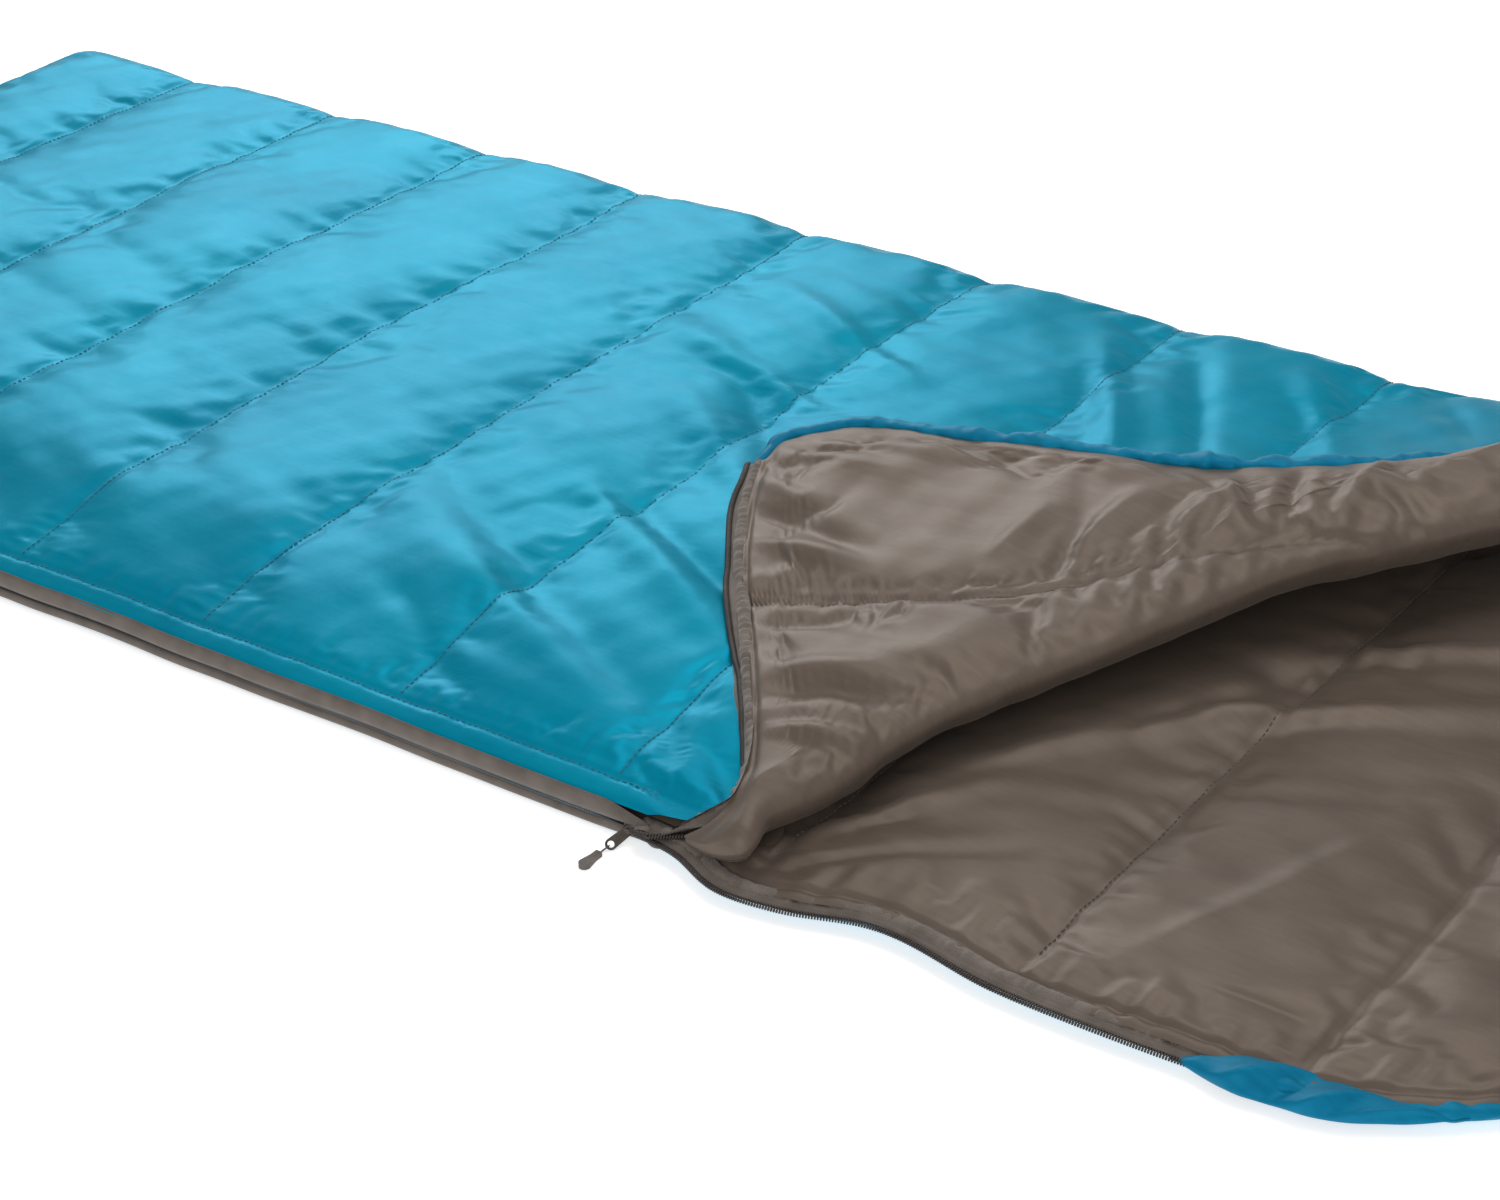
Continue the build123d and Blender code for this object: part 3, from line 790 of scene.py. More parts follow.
def fold_sheet():
    """The sheet round the fold: its points, and for each point three values.

    They are its place on the roll, from 0 to 1, and then on the flap, from 1 to 2; how far along
    the fold it lies; and how far out from the fold line.
    """
    s = flap_rows()[:, None]
    bottom, top = fold_bottom(s), fold_top(s)
    radius = (top - bottom) / 2
    centre = fold_front(s) - radius
    roll = np.linspace(0, 1, ROLL_COLUMNS)[None, :]
    flat = spread(FLAP_COLUMNS, 0.35)[1:][None, :]
    turn = np.pi * roll * (0.72 + 0.28 * smooth(s / 0.03))
    # the upper half of the roll is broader, where the cloth eases over into the flap
    easing = 0.034 * smooth(s / 0.22) * (turn > np.pi / 2)
    roll_u = centre + radius - (radius + easing) * (1 - np.sin(turn))
    roll_z = bottom + radius - radius * np.cos(turn)
    start_u, start_z = roll_u[:, -1:], roll_z[:, -1:]
    end_u = flap_rim(s)
    end_z = np.where(s <= FLAP_CORNER, flap_edge_z(s), hem_z(s))
    end_u = np.minimum(end_u, start_u - 0.0004)
    length = start_u - end_u
    flat_u = start_u + (end_u - start_u) * flat
    sag = np.clip(length / 0.38, 0, 1)
    flat_z = start_z + (end_z - start_z) * (flat**1.25) - 0.004 * sag * np.sin(np.pi * flat)
    u = np.concatenate([roll_u, flat_u], 1)
    z = np.concatenate([roll_z, flat_z], 1)
    ss = np.broadcast_to(s, u.shape)
    x, y = from_fold(ss, u)
    points = np.stack([x, y, z], -1)
    on_roll = np.broadcast_to(roll, roll_u.shape)
    on_flap = 1 + np.broadcast_to(flat, flat_u.shape)
    where = np.concatenate([on_roll, on_flap], 1)
    return points, where, ss, u


def pad_flap(points, where, ss, u):
    """Padding, quilt seams and folds, raised along the sheet's own normals."""
    normals = upward_normals(points)
    inside = np.clip(u - flap_rim(ss), 0, None)
    inside = np.where(where < 1, 0.1, inside)
    rim = round_edge(inside, 0.03)
    narrow = smooth(ss / 0.03 + 0.2)
    on_top = smooth((where - 0.35) / 0.3)
    gap = from_flap_seam(ss, u)
    puff = 0.0055 * round_edge(gap, 0.07) - 0.0024 * np.exp(-(gap / 0.0032) ** 2)
    along_seam = ss * 0.75 + u * 0.65
    across_seam = (ss * 0.65 - u * 0.75) * 0.2
    pucker = waves(along_seam, across_seam, 0.03, 61) + 0.7 * waves(along_seam, across_seam, 0.07, 62)
    puff += 0.0016 * pucker * np.exp(-gap / 0.022)
    height = puff * on_top
    for start, end, width, tall in FLAP_FOLDS:
        height = height + crease(ss, u, start, end, width, tall * 0.9)
    height += 0.0012 * waves(ss, u, 0.12, 63) + 0.0006 * waves(ss, u * 0.8, 0.04, 64)
    # gathers beside the zip and beside the hem
    zip_side = ss <= FLAP_CORNER + 0.01
    beside = np.where(zip_side, inside * 0.55, 9.0)
    edge_run = u * 0.85 - ss * 0.5
    gather = waves(edge_run, beside * 0.2, 0.028, 65) + 0.7 * waves(edge_run, beside * 0.2, 0.05, 66)
    height += 0.0014 * gather * np.exp(-beside / 0.022) * smooth(beside / 0.003)
    height -= 0.0024 * np.exp(-((beside - 0.006) / 0.0026) ** 2)
    hem_side = np.where(ss > FLAP_CORNER, inside, 9.0)
    pleat = waves(ss, u * 0.25, 0.03, 67) + 0.8 * waves(ss, u * 0.2, 0.07, 68)
    height += 0.0022 * pleat * np.exp(-hem_side / 0.03)
    height = height * rim * narrow
    return points + normals * height[..., None]


sheet_points, sheet_where, sheet_s, sheet_u = fold_sheet()
# the lining before it swells; its seam, its rim and the roll's inside are held
calm_sheet = pad_flap(sheet_points, sheet_where, sheet_s, sheet_u)
flap_free = smooth((sheet_where - 0.55) / 0.3) * smooth((sheet_s - 0.03) / 0.04)
off_rim = (sheet_u - flap_rim(sheet_s)) * np.where(sheet_s < FLAP_CORNER, 0.55, 1.0)
flap_free *= smooth((off_rim - 0.016) / 0.03) * smooth((FOLD_END - 0.01 - sheet_s) / 0.03)
flap_free *= smooth((from_flap_seam(sheet_s, sheet_u) - 0.003) / 0.006)
lining_sheet = calm_sheet + inflate(calm_sheet, flap_free, 0.035, 2.0, 0.004)
lining_normals = upward_normals(lining_sheet)
inner_gap = np.where(sheet_where <= 1, 0.1, np.clip(sheet_u - flap_rim(sheet_s), 0, 0.1))
panel_thick = cover_gap(sheet_s) * (0.25 + 0.75 * np.sqrt(np.clip(inner_gap / 0.03, 0, 1)))
base_normals = upward_normals(sheet_points)
shell_sheet = sheet_points - base_normals * panel_thick[..., None]
shell_wave = 0.0009 * waves(sheet_s, sheet_u, 0.09, 71) * np.clip(inner_gap / 0.03, 0, 1)
shell_sheet = shell_sheet + base_normals * shell_wave[..., None]
shell_normals = upward_normals(shell_sheet)


def roll_blend(piece):
    """Bakes the roll piece's placement into its mesh; the roll does not follow the flap.
    """
    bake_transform(piece)


def part_of_sheet(name, points, normals, columns, material, outward):
    """Some columns of the sheet as a piece that keeps the whole sheet's normals."""
    part = points[:, columns]
    faces = grid_faces(*part.shape[:2])
    natural = grid_normals(points)[MIDDLE_OF_SHEET][2] > 0
    if natural != outward:
        faces = [f[::-1] for f in faces]
    obj = new_mesh(name, part.reshape(-1, 3).tolist(), faces, material)
    sign = 1 if outward else -1
    obj.data.normals_split_custom_set_from_vertices((sign * normals[:, columns]).reshape(-1, 3).tolist())
    return obj


roll_part = slice(0, ROLL_COLUMNS)
flap_part = slice(ROLL_COLUMNS - 1, None)
fold_lining = part_of_sheet("fold_lining_cloth", lining_sheet, lining_normals, roll_part, LINING, True)
fold_shell = part_of_sheet("fold_shell_cloth", shell_sheet, shell_normals, roll_part, SHELL, False)
flap_lining = part_of_sheet("flap_lining_cloth", lining_sheet, lining_normals, flap_part, LINING, True)
flap_shell = part_of_sheet("flap_shell_cloth", shell_sheet, shell_normals, flap_part, SHELL, False)
roll_blend(fold_lining)
roll_blend(fold_shell)
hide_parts("fold_lining", "fold_fill")
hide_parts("fold_shell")
place_piece(flap_lining, "cover_flap", "lining_fabric", "flap_lining", "flap_fill")
place_piece(flap_shell, "cover_flap", "shell_fabric", "flap_shell")


# ---- the underside of the cover, inside the bag ---------------------------------------------
def cover_lining_grid():
    """The lining under the closed cover: it rests low, and rises to the roll at the fold."""
    rows, columns = 130, 66
    t, q = np.meshgrid(np.linspace(0, 1, rows), np.linspace(0, 1, columns), indexing="ij")
    y = NEAR_Y + 0.004 + (FAR_Y - NEAR_Y - 0.022) * q
    end = np.minimum(cover_end(y), MOUTH_X - 0.002)
    x = FOOT_X + 0.016 + (end - FOOT_X - 0.016) * t
    s, u = to_fold(x, y)
    s_in = np.clip(s, 0, FOLD_END)
    rest = COVER_Z + 0.001 + 0.0015 * (1 + waves(x, y, 0.12, 41))
    reach = 0.10 + 0.22 * smooth(s_in / 0.6)
    mix = 1 - smooth(np.clip((roll_middle(s_in) - u) / reach, 0, 1))
    far_side = smooth((FAR_Y - y) / 0.10)
    z = rest * (1 - mix * far_side) + fold_bottom(s_in) * mix * far_side
    z += 0.002 * waves(x, y, 0.07, 42) * mix * (1 - mix) * 4
    return np.stack([x, y, z], -1)


cover_lining = cloth("cover_lining_cloth", cover_lining_grid(), LINING, up=False)
place_piece(cover_lining, "bag", "lining_fabric", "cover_lining")


# ---- the lower panel and the head section ---------------------------------------------------
LOWER_FOLDS = [
    (plan(1.40, 0.02), plan(1.50, 0.16), 0.010, 0.0045, 0.0),
    (plan(1.43, 0.01), plan(1.56, 0.11), 0.008, -0.0035, 0.0),
    (plan(1.46, 0.15), plan(1.62, 0.35), 0.012, 0.0050, 0.01),
    (plan(1.52, 0.24), plan(1.60, 0.40), 0.010, -0.0045, 0.0),
    (plan(1.56, 0.30), plan(1.76, 0.42), 0.014, 0.0060, 0.0),
    (plan(1.60, 0.42), plan(1.78, 0.52), 0.012, 0.0060, 0.0),
    (plan(1.66, 0.05), plan(1.74, 0.26), 0.012, 0.0030, 0.0),
    (plan(1.72, 0.04), plan(1.84, 0.10), 0.014, 0.0035, 0.0),
    (plan(1.83, 0.06), plan(1.98, 0.14), 0.018, 0.0045, 0.0),
    (plan(1.84, 0.16), plan(1.96, 0.30), 0.016, 0.0035, 0.0),
    (plan(1.62, 0.16), plan(1.76, 0.30), 0.020, 0.0030, 0.0),
]
LOWER_SEAMS = [FOOT_X + 1.04 + 0.187 * k for k in range(6)]


def lower_height(x, y):
    """The top of the lower panel; it is quilted only where the bag lies open."""
    near, far = base_sides(x)
    from_near, from_far = y - near, far - y
    open_part = smooth((x - FOOT_X - 1.25) / 0.15)
    rim = round_edge(from_near, 0.05)
    far_rim = round_edge(from_far, 0.05)
    head_rim = np.sqrt(np.clip((HEAD_X - x) / 0.04, 0, 1))
    rise = rim * far_rim * np.clip(head_rim, 0, 1)
    puff = quilt(x, y, LOWER_SEAMS, 0.0055, 0.0024, 81)
    z = 0.0105 + open_part * rise * (0.004 + puff)
    for start, end, width, height, bow in LOWER_FOLDS:
        z = z + open_part * rise * crease(x, y, start, end, width, height, bow)
    z += open_part * rise * (0.0012 * waves(x, y, 0.11, 82) + 0.0006 * waves(x, y, 0.04, 83))
    gathers = waves(x, y * 0.15, 0.016, 84) + 0.6 * waves(x, y * 0.2, 0.035, 85)
    beside_stitches = np.exp(-np.abs(from_near - 0.018) / 0.014)
    z += 0.0016 * open_part * gathers * beside_stitches * smooth(from_near / 0.006)
    z -= 0.0030 * open_part * np.exp(-((from_near - 0.0125) / 0.0022) ** 2)
    return z


def lower_grid(rows, columns, inset):
    """A grid of places over the lower panel, closer together near its edges."""
    t, q = np.meshgrid(np.linspace(0, 1, rows), spread(columns, 0.5), indexing="ij")
    x = FOOT_X + inset + (HEAD_X - FOOT_X - 1.5 * inset) * (1 - (1 - t) ** 1.25)
    near, far = base_sides(x)
    y = near + inset + (far - near - 2 * inset) * q
    return x, y


lower_x, lower_y = lower_grid(401, 191, 0.003)
# drawn in from the swelling far and foot edges, so that only the shell shows there
far_of_lower = base_sides(lower_x)[1]
lower_y = lower_y - 0.012 * np.exp(-(far_of_lower - lower_y) / 0.03) * smooth((HOOD_X - lower_x) / 0.05)
lower_x = lower_x + 0.008 * np.exp(-(lower_x - FOOT_X) / 0.03)
lower = np.stack([lower_x, lower_y, lower_height(lower_x, lower_y)], -1)
lower_free = smooth((lower_x - FOOT_X - 1.28) / 0.08) * smooth((HEAD_X - 0.015 - lower_x) / 0.02)
lower_near, lower_far = base_sides(lower_x)
lower_free *= smooth((lower_y - lower_near - 0.016) / 0.012) * smooth((lower_far - lower_y - 0.016) / 0.012)
lower_free *= smooth((quilt(lower_x, lower_y, LOWER_SEAMS, 1.0, 0.0, 81) - 0.1) / 0.06)
open_row = 2 * int(np.searchsorted(lower_x[:, 0], FOOT_X + 1.24) // 2)
lower[open_row:] += inflate(lower[open_row:], lower_free[open_row:], 0.024, 1.2, 0.0035)
base_lining = cloth("base_lining_cloth", lower, LINING, up=True)
bend_at_hood(base_lining)
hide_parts("base_lining", "base_fill", "hood_lining", "hood_fill")


def underside_grid():
    """The lower shell: flat on the ground, turned up round the edges to the seams."""
    x, y = lower_grid(200, 84, 0.0)
    near, far = base_sides(x)
    from_near, from_far = y - near, far - y
    from_foot, from_head = x - FOOT_X, HEAD_X - x
    lift = np.zeros(x.shape)
    for distance, top in ((from_near, 0.0075), (from_far, 0.0125), (from_foot, 0.0125), (from_head, 0.009)):
        lift = np.maximum(lift, top * (1 - round_edge(distance, 0.014)))
    z = 0.0003 + lift
    puff = quilt(x, y, seam_places(), 1.0, 0.0, 91)
    z += 0.0012 * (1 - puff) * smooth(from_near / 0.02) * smooth(from_far / 0.02)
    scallop = np.exp(-(from_far / 0.03)) * (x < HOOD_X)
    y = y - (0.009 * (1 - quilt(x, y * 0, seam_places(), 1.0, 0.0, 31)) + 0.002) * scallop
    x = x + 0.0036 * np.exp(-from_foot / 0.03) * (1 + waves(x * 0, y, 0.25, 33))
    return np.stack([x, y, z], -1)


base_shell = cloth("base_shell_cloth", underside_grid(), SHELL, up=False)
bend_at_hood(base_shell)
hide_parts("base_shell", "hood_shell", "far_side_seam", "foot_seam")


# ---- the zip ----------------------------------------------------------------------------------
def closed_run(offset_y, z, head_x):
    """A line along the closed part of the zip, in and out with the soft edge of the bag."""
    x = np.arange(ZIP_FOOT_X - 0.012, head_x, 0.006)
    out = 0.0012 * waves(x, 0 * x, 0.16, 101) + 0.0006 * waves(x, 0 * x, 0.05, 102)
    near_slider = 0.003 * smooth((x - SLIDER_X + 0.25) / 0.2)
    y = NEAR_Y + offset_y + out * 0.6 - near_slider * 0.4
    return np.stack([x, y, z + 0 * x + 0.25 * out], -1)


def lower_edge(inset, z):
    """A line along the open edge of the lower panel, from the slider to the end of the zip."""
    x = np.arange(SLIDER_X + 0.004, ZIP_HEAD_X + 0.006, 0.004)
    y = near_edge(x) + inset
    height = z + 0.0012 * waves(x, 0 * x, 0.12, 103) * smooth((x - SLIDER_X) / 0.05)
    return np.stack([x, y, height], -1)


upper_run = closed_run(-0.0012, CHAIN_Z + 0.0011, SLIDER_X + 0.018)
lower_run = closed_run(-0.0012, CHAIN_Z - 0.0011, SLIDER_X + 0.018)
UP = np.array([0.0, 0.0, 1.0])
upper_width = np.interp(upper_run[:, 0], (SLIDER_X - 0.02, SLIDER_X + 0.018), (0.0125, 0.0035))
rising = UP + np.array([0, 0.12, 0]) + 0 * upper_run
band = ribbon("zip_tape_upper_band", upper_run, rising, upper_width, TAPE_THICK, TAPE, bow=0.0012)
place_piece(band, "bag", "zip_tape", "zip_tape_upper")
falling = np.array([0, -0.12, -1.0]) + 0 * lower_run
band = ribbon("zip_tape_lower_band", lower_run, falling, 0.0062, TAPE_THICK, TAPE, bow=-0.0008)
place_piece(band, "bag", "zip_tape")


def closed_teeth(name, z):
    """One side's teeth along the closed part of the zip."""
    return coil(name, closed_run(0.0008, z, SLIDER_X - 0.004), 0.0011, 0.0018, COIL, up=(0, 1, 0))


place_piece(closed_teeth("zip_coil_upper_teeth", CHAIN_Z + 0.0011), "bag", "zip_coil", "zip_coil_upper")

lower_line = lower_edge(-0.004, CHAIN_Z + 0.0015)
inward = np.stack([-np.gradient(lower_line[:, 1]), np.gradient(lower_line[:, 0]), 0 * lower_line[:, 0]], -1)
inward = unit(inward)
tilted = inward + np.array([0, 0, 0.25])
tape = ribbon("zip_tape_lower_open", lower_line, tilted, 0.011, TAPE_THICK, TAPE, bow=0.0006)
place_piece(tape, "bag", "zip_tape", "zip_tape_lower")
teeth_line = lower_line + np.array([0, -0.0012, -0.0002])
teeth = coil("zip_coil_lower_teeth", teeth_line, 0.0016, 0.0019, COIL)
place_piece(teeth, "bag", "zip_coil", "zip_coil_lower")
place_piece(closed_teeth("zip_coil_lower_closed", CHAIN_Z - 0.0011), "bag", "zip_coil")


def ruched(name, path, across, width, seed, material):
    """A narrow gathered strip: fine pleats across its length."""
    fine, at = resample(path, 0.0016)
    old_share = np.linspace(0, 1, len(across))
    new_share = np.linspace(0, 1, len(fine))
    turned = unit(np.stack([np.interp(new_share, old_share, across[:, k]) for k in range(3)], -1))
    face = unit(np.cross(np.gradient(fine, axis=0), turned))
    face *= np.sign(face[:, 2:3] + 1e-9)
    t = np.linspace(0, 1, 7)
    pleat = waves(at[:, None], t[None, :] * 0.004, 0.0065, seed, 7) * 0.8
    pleat = pleat + waves(at[:, None], 0 * t[None, :], 0.016, seed + 1) * 0.6
    body = np.sin(np.pi * t)[None, :] * (0.0022 + 0.0013 * pleat)
    edge = waves(at, 0 * at, 0.012, seed + 2)[:, None] * 0.0009 * (t - 0.5)[None, :]
    points = fine[:, None] + turned[:, None] * (t[None, :] * width + edge)[..., None]
    points = points + face[:, None] * body[..., None]
    return cloth(name, points, material, up=grid_normals(points)[5, 3, 2] > 0)


strip_line = lower_line + inward * 0.005 + np.array([0, 0, 0.0008])
strip = ruched("ruched_strip_lower", strip_line, inward + np.array([0, 0, 0.3]), 0.010, 111, RUCHED)
place_piece(strip, "bag", "lining_fabric")

# the open edge of the cover, up round the start of the fold and along the flap to its corner
zip_rows = np.nonzero(flap_rows() <= FLAP_CORNER + 1e-6)[0]
rim = lining_sheet[zip_rows, -1]
inside_rim = calm_sheet[zip_rows, -INSIDE_COLUMNS]
rim_along = unit(np.gradient(rim, axis=0))
rim_out = rim - inside_rim
rim_out = unit(rim_out - (rim_out * rim_along).sum(1, keepdims=True) * rim_along)
start_row = 9  # two points beside the slider stand for the rim before this row
curl_row = int(np.searchsorted(flap_rows()[zip_rows], 0.052))
smooth_window = np.ones(7) / 7


def soften(directions):
    """Evens out directions from point to point."""
    padded = np.concatenate([directions[:1].repeat(3, 0), directions, directions[-1:].repeat(3, 0)])
    return unit(np.stack([np.convolve(padded[:, k], smooth_window, "valid") for k in range(3)], -1))


slider_point = np.array([SLIDER_X + 0.006, NEAR_Y - 0.001, CHAIN_Z + 0.0016])
first_out = np.array([0.25, -0.9, 0.1])
curl_path = np.vstack([slider_point, slider_point + np.array([0.016, -0.004, 0.0012]), rim[start_row:]])
curl_out = soften(np.vstack([first_out, first_out, rim_out[start_row:]]))
# the teeth lie on the cover, not in it
teeth_reach = 0.0112
teeth_place = curl_path + curl_out * teeth_reach
cover_below = []
for place in teeth_place:
    away = np.hypot(cover[..., 0] - place[0], cover[..., 1] - place[1])
    cover_below.append(cover[..., 2].ravel()[away.argmin()])
wanted = np.maximum(teeth_place[:, 2], np.array(cover_below) + 0.0029)
wanted[:3] = teeth_place[:3, 2]
wanted = np.convolve(np.r_[wanted[:1].repeat(3), wanted, wanted[-1:].repeat(3)], smooth_window, "valid")
curl_out[:, 2] = (wanted - curl_path[:, 2]) / teeth_reach
split = curl_row - start_row + 2


def follow_zip(obj, part, slot, *nodes):
    """The curl's placement is baked into its mesh; the rest moves with the flap."""
    if part == "curl":
        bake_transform(obj)
    else:
        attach(obj, "cover_flap")
    if nodes:
        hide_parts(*nodes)


for part, rows, tape_nodes, coil_nodes in (
    ("curl", slice(0, split + 1), (), ()),
    ("flap", slice(split, None), ("flap_zip_tape",), ("flap_zip_coil",)),
):
    path, out_way = curl_path[rows], curl_out[rows]
    tape_path = path - out_way * 0.004 + np.array([0, 0, -0.001])
    tape = ribbon("zip_tape_" + part, tape_path, out_way, 0.0145, TAPE_THICK, TAPE, bow=0.0005)
    follow_zip(tape, part, "zip_tape", *tape_nodes)
    outer = path + out_way * teeth_reach
    follow_zip(coil("zip_coil_" + part, outer, 0.0017, 0.0019, COIL), part, "zip_coil", *coil_nodes)
    strip_path = path - out_way * 0.0045 + np.array([0, 0, 0.0004])
    strip = ruched("ruched_strip_" + part, strip_path, out_way, 0.0095, 121, RUCHED)
    follow_zip(strip, part, "lining_fabric")


# ---- hems and bindings ------------------------------------------------------------------------
def puckered_band(name, path, radius, flat, seed, material, twist=0.35):
    """A narrow folded band, drawn up into uneven puckers by its stitching."""
    fine, at = resample(path, 0.0022)
    sides = 16
    _, side, above = frames_along(fine)
    turn = np.linspace(0, 2 * math.pi, sides, endpoint=False)[None, :]
    swell = 1 + 0.16 * waves(at, 0 * at, 0.035, seed)[:, None]
    swell = swell + 0.12 * waves(at, 0 * at, 0.012, seed + 1)[:, None]
    crumple = 1 + 0.16 * waves(at[:, None], np.sin(turn) * 0.01, 0.014, seed + 2)
    crumple = crumple + 0.10 * waves(at[:, None] + 0.01 * np.cos(turn), np.cos(turn) * 0.01, 0.03, seed + 3)
    r = np.broadcast_to(np.asarray(radius, float), (len(path),))
    r = np.interp(np.linspace(0, 1, len(fine)), np.linspace(0, 1, len(path)), r)[:, None] * swell * crumple
    lean = twist * waves(at, 0 * at, 0.09, seed + 4)[:, None]
    across = r * np.cos(turn)
    tall = r * flat * np.sin(turn)
    points = (
        fine[:, None]
        + (across * np.cos(lean) - tall * np.sin(lean))[..., None] * side[:, None]
        + (across * np.sin(lean) + tall * np.cos(lean))[..., None] * above[:, None]
    )
    return new_mesh(name, points.reshape(-1, 3).tolist(), capped_faces(len(fine), sides), material)


hem_rows = np.nonzero(flap_rows() >= FLAP_CORNER - 0.004)[0]
hem_rim = lining_sheet[hem_rows, -1]
hem_under = shell_sheet[hem_rows, -1]
hem_back = unit(hem_rim - calm_sheet[hem_rows, -INSIDE_COLUMNS])
hem_line = (hem_rim + hem_under) / 2 + hem_back * 0.006
hem_share = np.linspace(0, 1, len(hem_line))
hem_line[:, 2] += np.interp(hem_share, (0, 0.1, 0.3, 1), (0.0, 0.003, 0.005, 0.006))
hem_size = np.interp(hem_share, (0, 0.04, 0.3, 1), (0.0034, 0.0058, 0.0078, 0.0088))
hem_band = puckered_band("head_hem_band", hem_line, hem_size, 0.72, 131, HEM)
place_piece(hem_band, "cover_flap", "shell_fabric", "head_hem")


def head_edge_of_cover():
    """The cover's own head hem, from the end of the fold to the far side."""
    edge = cover[-1, :]
    keep = edge[:, 0] > MOUTH_X - 0.004
    return edge[keep]


far_hem_line = head_edge_of_cover() + np.array([0.002, 0, -0.006])
far_hem = puckered_band("head_hem_far_band", far_hem_line, 0.008, 0.85, 141, HEM)
place_piece(far_hem, "bag", "shell_fabric")


def hood_line(inset, z):
    """Round the head section's edge, from the end of the zip to the far side of the hinge line."""
    lead = np.linspace(ZIP_HEAD_X - 0.004, HOOD_X + 0.02, 14)
    first = np.stack([lead, near_edge(lead) + 0.002, 0 * lead + z], -1)
    turn = np.linspace(math.radians(8), math.pi, 150)
    x = HOOD_X + (HEAD_X - HOOD_X - inset) * np.sin(turn)
    near, far = base_sides(x)
    y = np.where(turn < math.pi / 2, near + inset, far - inset)
    second = np.stack([x, y, z + 0 * x], -1)
    keep = (second[:, 0] > lead[-1] + 0.004) | (turn > math.pi / 2)
    return np.vstack([first, second[keep]])


binding_path, _ = resample(hood_line(0.003, 0.010), 0.005)
for _ in range(3):
    binding_path[1:-1] = (binding_path[:-2] + 2 * binding_path[1:-1] + binding_path[2:]) / 4
binding = puckered_band("hood_binding_band", binding_path, 0.0058, 0.8, 151, HEM, twist=0.5)
bend_at_hood(binding)
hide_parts("hood_binding")


GARAGE_PLEATS = [
    # start and end across the pocket's grid, width, height
    ((0.18, 0.1), (0.42, 0.9), 0.06, 0.0045),
    ((0.34, 0.0), (0.55, 0.95), 0.05, -0.0035),
    ((0.48, 0.1), (0.70, 0.8), 0.05, 0.0045),
    ((0.62, 0.1), (0.95, 0.6), 0.05, 0.0035),
]


def zip_end_cover():
    """The folded flap of shell cloth that tucks in the end of the zip."""
    rows, columns = 130, 44
    t, q = np.meshgrid(np.linspace(0, 1, rows), np.linspace(0, 1, columns), indexing="ij")
    x = ZIP_HEAD_X - 0.052 + 0.165 * t
    reach = 0.004 + 0.019 * smooth(t / 0.3) * smooth((1.0 - t) / 0.5)
    centre = base_sides(x)[0]
    pleats = sum(crease(t, q, *pleat) for pleat in GARAGE_PLEATS)
    pleats += 0.0006 * waves(t * 0.16, q * 0.03, 0.02, 161)
    turn = (q * 1.12 - 0.10) * math.pi
    y = centre - 0.004 + reach * (0.25 - 0.75 * np.cos(turn)) - pleats * 0.3
    ends = smooth(t / 0.12) * smooth((1 - t) / 0.2)
    swell = (0.0045 + 0.12 * reach) * np.sin(turn) + pleats * np.sin(np.pi * np.clip(q, 0, 1))
    z = 0.0095 + swell * ends
    return np.stack([x, y, np.maximum(z, 0.0006)], -1)


garage = cloth("zip_garage_cloth", zip_end_cover(), HEM, up=True)
bend_at_hood(garage)
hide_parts("zip_garage")


# ---- thread -------------------------------------------------------------------------------------
def thread_on(name, x, y, height, material):
    """Thread along a line on the surface that a height function gives."""
    z = height(x, y)
    step = 0.001
    slope_x = (height(x + step, y) - height(x - step, y)) / (2 * step)
    slope_y = (height(x, y + step) - height(x, y - step)) / (2 * step)
    normals = np.stack([-slope_x, -slope_y, np.ones_like(x)], -1)
    path = np.stack([x, y, z + 0.00015], -1)
    return stitches(name, path, normals, 0.0034, 0.0018, 0.00042, material)


line_x = np.arange(FOOT_X + 0.03, FOLD_START[0] - 0.02, 0.004)
line = thread_on("edge_stitching", line_x, NEAR_Y + 0.016 + 0 * line_x, cover_height, THREAD_BLUE)
place_piece(line, "bag", "shell_fabric")


def seam_line(points, normals, place, seed, k, stop_near, stop_far):
    """A quilt seam's path over a grid whose rows run across the bag."""
    y = points[points.shape[0] // 2, :, 1]
    wander = 0.004 * waves(0 * y + k * 0.37, y, 0.5, seed + k)
    path, out = [], []
    for j in range(points.shape[1]):
        x_here = place + wander[j]
        column = points[:, j]
        if not column[2, 0] < x_here < column[-6, 0]:
            continue
        at = [np.interp(x_here, column[:, 0], column[:, c]) for c in range(3)]
        if stop_near < at[1] - NEAR_Y and at[1] < stop_far:
            path.append(at)
            out.append([np.interp(x_here, column[:, 0], normals[:, j, c]) for c in range(3)])
    return np.array(path), np.array(out)


def sew_seam(name, path, out, material, body, slot):
    """Thread in a quilt seam."""
    place_piece(stitches(name, path, out, 0.0036, 0.0016, 0.0005, material), body, slot)


for k, place in enumerate(seam_places()):
    path, out = seam_line(cover, cover_normals, place, 11, k, 0.018, FAR_Y - 0.014)
    if len(path) > 8:
        sew_seam(f"cover_seam_{k + 1}", path + out * 0.0001, out, THREAD_BLUE, "bag", "shell_fabric")
lower_normals = grid_normals(lower)
for k, place in enumerate(LOWER_SEAMS):
    if place < FOOT_X + 1.3 or place > HOOD_X - 0.02:
        continue
    path, out = seam_line(lower, lower_normals, place, 81, k, 0.014, FAR_Y - 0.02)
    sew_seam(f"lining_seam_{k + 1}", path + out * 0.0001, out, THREAD_BROWN, "bag", "lining_fabric")

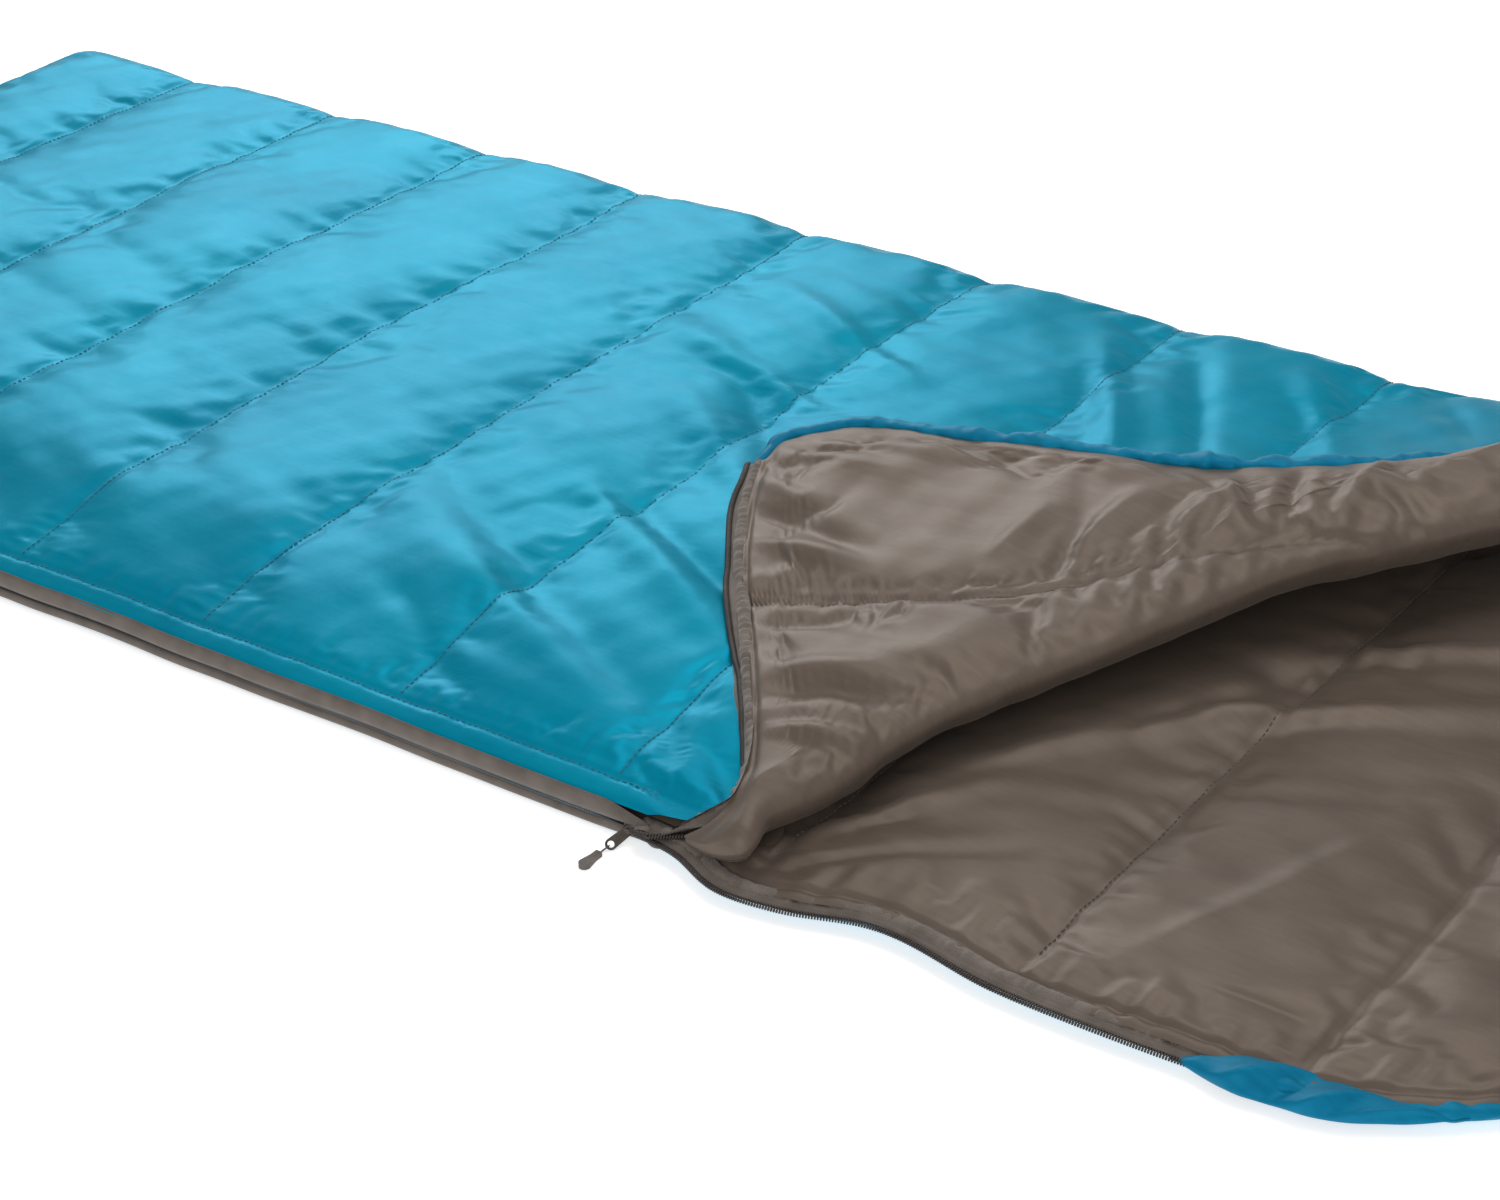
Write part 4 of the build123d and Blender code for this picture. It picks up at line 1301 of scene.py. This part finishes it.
flap_path, flap_out = [], []
for i, s_here in enumerate(flap_rows()):
    if 0.105 < s_here < 0.5:
        order = slice(None, ROLL_COLUMNS - 1, -1)
        u_row = sheet_u[i, order]
        target = float(flap_seam(np.array(s_here)))
        if u_row[0] + 0.012 < target < u_row[-1]:
            flap_path.append([np.interp(target, u_row, lining_sheet[i, order, c]) for c in range(3)])
            flap_out.append([np.interp(target, u_row, lining_normals[i, order, c]) for c in range(3)])
sew_seam("flap_seam", np.array(flap_path), np.array(flap_out), THREAD_BROWN, "cover_flap", "lining_fabric")


# ---- the CAD pieces that stay in sight ----------------------------------------------------------
for end in ("head", "foot"):
    for part, material in (
        ("slider_body", METAL), ("slider_bridge", METAL), ("pull_plate", METAL),
        ("pull_cord", CORD), ("pull_tab", RUBBER),
    ):
        node = frame["nodes"][f"{end}_{part}"]
        material_of(node, material)
        edge = node.modifiers.new("soft edges", "BEVEL")
        edge.width = 0.0003 if part != "pull_tab" else 0.0009
        edge.segments = 3
        edge.limit_method = "ANGLE"
        node.data.shade_smooth()
for name in ("zip_stop_foot", "zip_stop_lower"):
    material_of(frame["nodes"][name], COIL)
stop_end = curl_path[-1] + curl_out[-1] * 0.011
stop_way = curl_path[-1] - curl_path[-3]
stop_way /= np.linalg.norm(stop_way)
stop_path = stop_end + stop_way * np.linspace(-0.001, 0.0035, 8)[:, None]
stop_size = 0.0019 * np.array([0.6, 0.95, 1, 1, 1, 1, 0.95, 0.6])
upper_stop = tube("zip_stop_upper_block", stop_path, stop_size, COIL, sides=12, flat=0.7)
place_piece(upper_stop, "cover_flap", "zip_coil", "zip_stop_upper")


def hang_loop(node):
    """A short loop of flat webbing, doubled over and sewn into the foot seam."""
    near_corner, far_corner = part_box(node)
    middle = (near_corner + far_corner) / 2
    length = far_corner.x - near_corner.x
    turn = np.linspace(0, 2 * np.pi, 41)
    path = np.stack([
        far_corner.x + 0.003 - (length + 0.003) * np.sin(turn / 2) ** 0.8,
        middle.y + 0 * turn,
        middle.z + 0.0034 * np.sin(turn) * (0.6 + 0.4 * np.sin(turn / 2)),
    ], -1)
    across = np.array([0.0, 1.0, 0.0]) + 0 * path
    loop = ribbon(node + "_webbing", path, across, far_corner.y - near_corner.y, 0.0008, WEBBING)
    place_piece(loop, "bag", "webbing", node)


for name in ("hang_loop_far", "hang_loop_near"):
    hang_loop(name)


# ---- camera, floor and light ----------------------------------------------------------------
def camera():
    """Where the photograph was taken from, worked out from the bag's vanishing points."""
    data = bpy.data.cameras.new("camera")
    data.lens = 78.48
    data.sensor_width = 36
    data.clip_start = 0.05
    obj = bpy.data.objects.new("camera", data)
    turn = Matrix(((0.813, -0.264, 0.519), (0.581, 0.417, -0.699), (-0.032, 0.870, 0.492)))
    obj.matrix_world = Matrix.Translation((1.407, -1.757, 1.16)) @ turn.to_4x4()
    bpy.context.scene.collection.objects.link(obj)
    bpy.context.scene.camera = obj


def soft_light(name, place, target, size, power, colour):
    data = bpy.data.lights.new(name, "AREA")
    data.shape = "RECTANGLE"
    data.size, data.size_y = size
    data.energy = power
    data.color = colour
    obj = bpy.data.objects.new(name, data)
    obj.location = place
    obj.rotation_euler = (Vector(target) - Vector(place)).to_track_quat("-Z", "Y").to_euler()
    bpy.context.scene.collection.objects.link(obj)


def studio():
    mesh = bpy.data.meshes.new("floor")
    reach = 9.0
    corners = [(-reach, -reach, 0), (reach, -reach, 0), (reach, reach, 0), (-reach, reach, 0)]
    mesh.from_pydata(corners, [], [(0, 1, 2, 3)])
    floor = bpy.data.objects.new("floor", mesh)
    bpy.context.scene.collection.objects.link(floor)
    m = Nodes("floor_paper")
    m.colours(m.noise(3.0, 3.0), (0.3, (0.86, 0.86, 0.86)), (0.7, (0.9, 0.9, 0.9)))
    m.set(Roughness=0.9, Emission_Strength=0.55)
    m.shader.inputs["Emission Color"].default_value = (1, 1, 1, 1)
    m.bump((m.noise(200.0, 2.0), 0.05, 0.0005))
    material_of(floor, m.material)
    world = bpy.data.worlds.new("studio")
    bpy.context.scene.world = world
    world.use_nodes = True
    world.node_tree.nodes["Background"].inputs["Color"].default_value = (1.0, 1.0, 1.0, 1)
    world.node_tree.nodes["Background"].inputs["Strength"].default_value = 0.42
    soft_light("back_softbox", (-2.6, 2.6, 1.6), (-0.2, 0.1, 0), (2.2, 0.8), 42, (1.0, 1.0, 1.0))
    soft_light("top_softbox", (0.4, 0.6, 2.6), (0.2, 0.0, 0), (2.2, 1.6), 30, (1.0, 0.99, 0.97))
    soft_light("front_softbox", (1.2, -2.4, 1.3), (0.3, 0.0, 0), (2.0, 1.2), 20, (1.0, 1.0, 1.0))
    bpy.context.scene.view_settings.view_transform = "Standard"


camera()
studio()
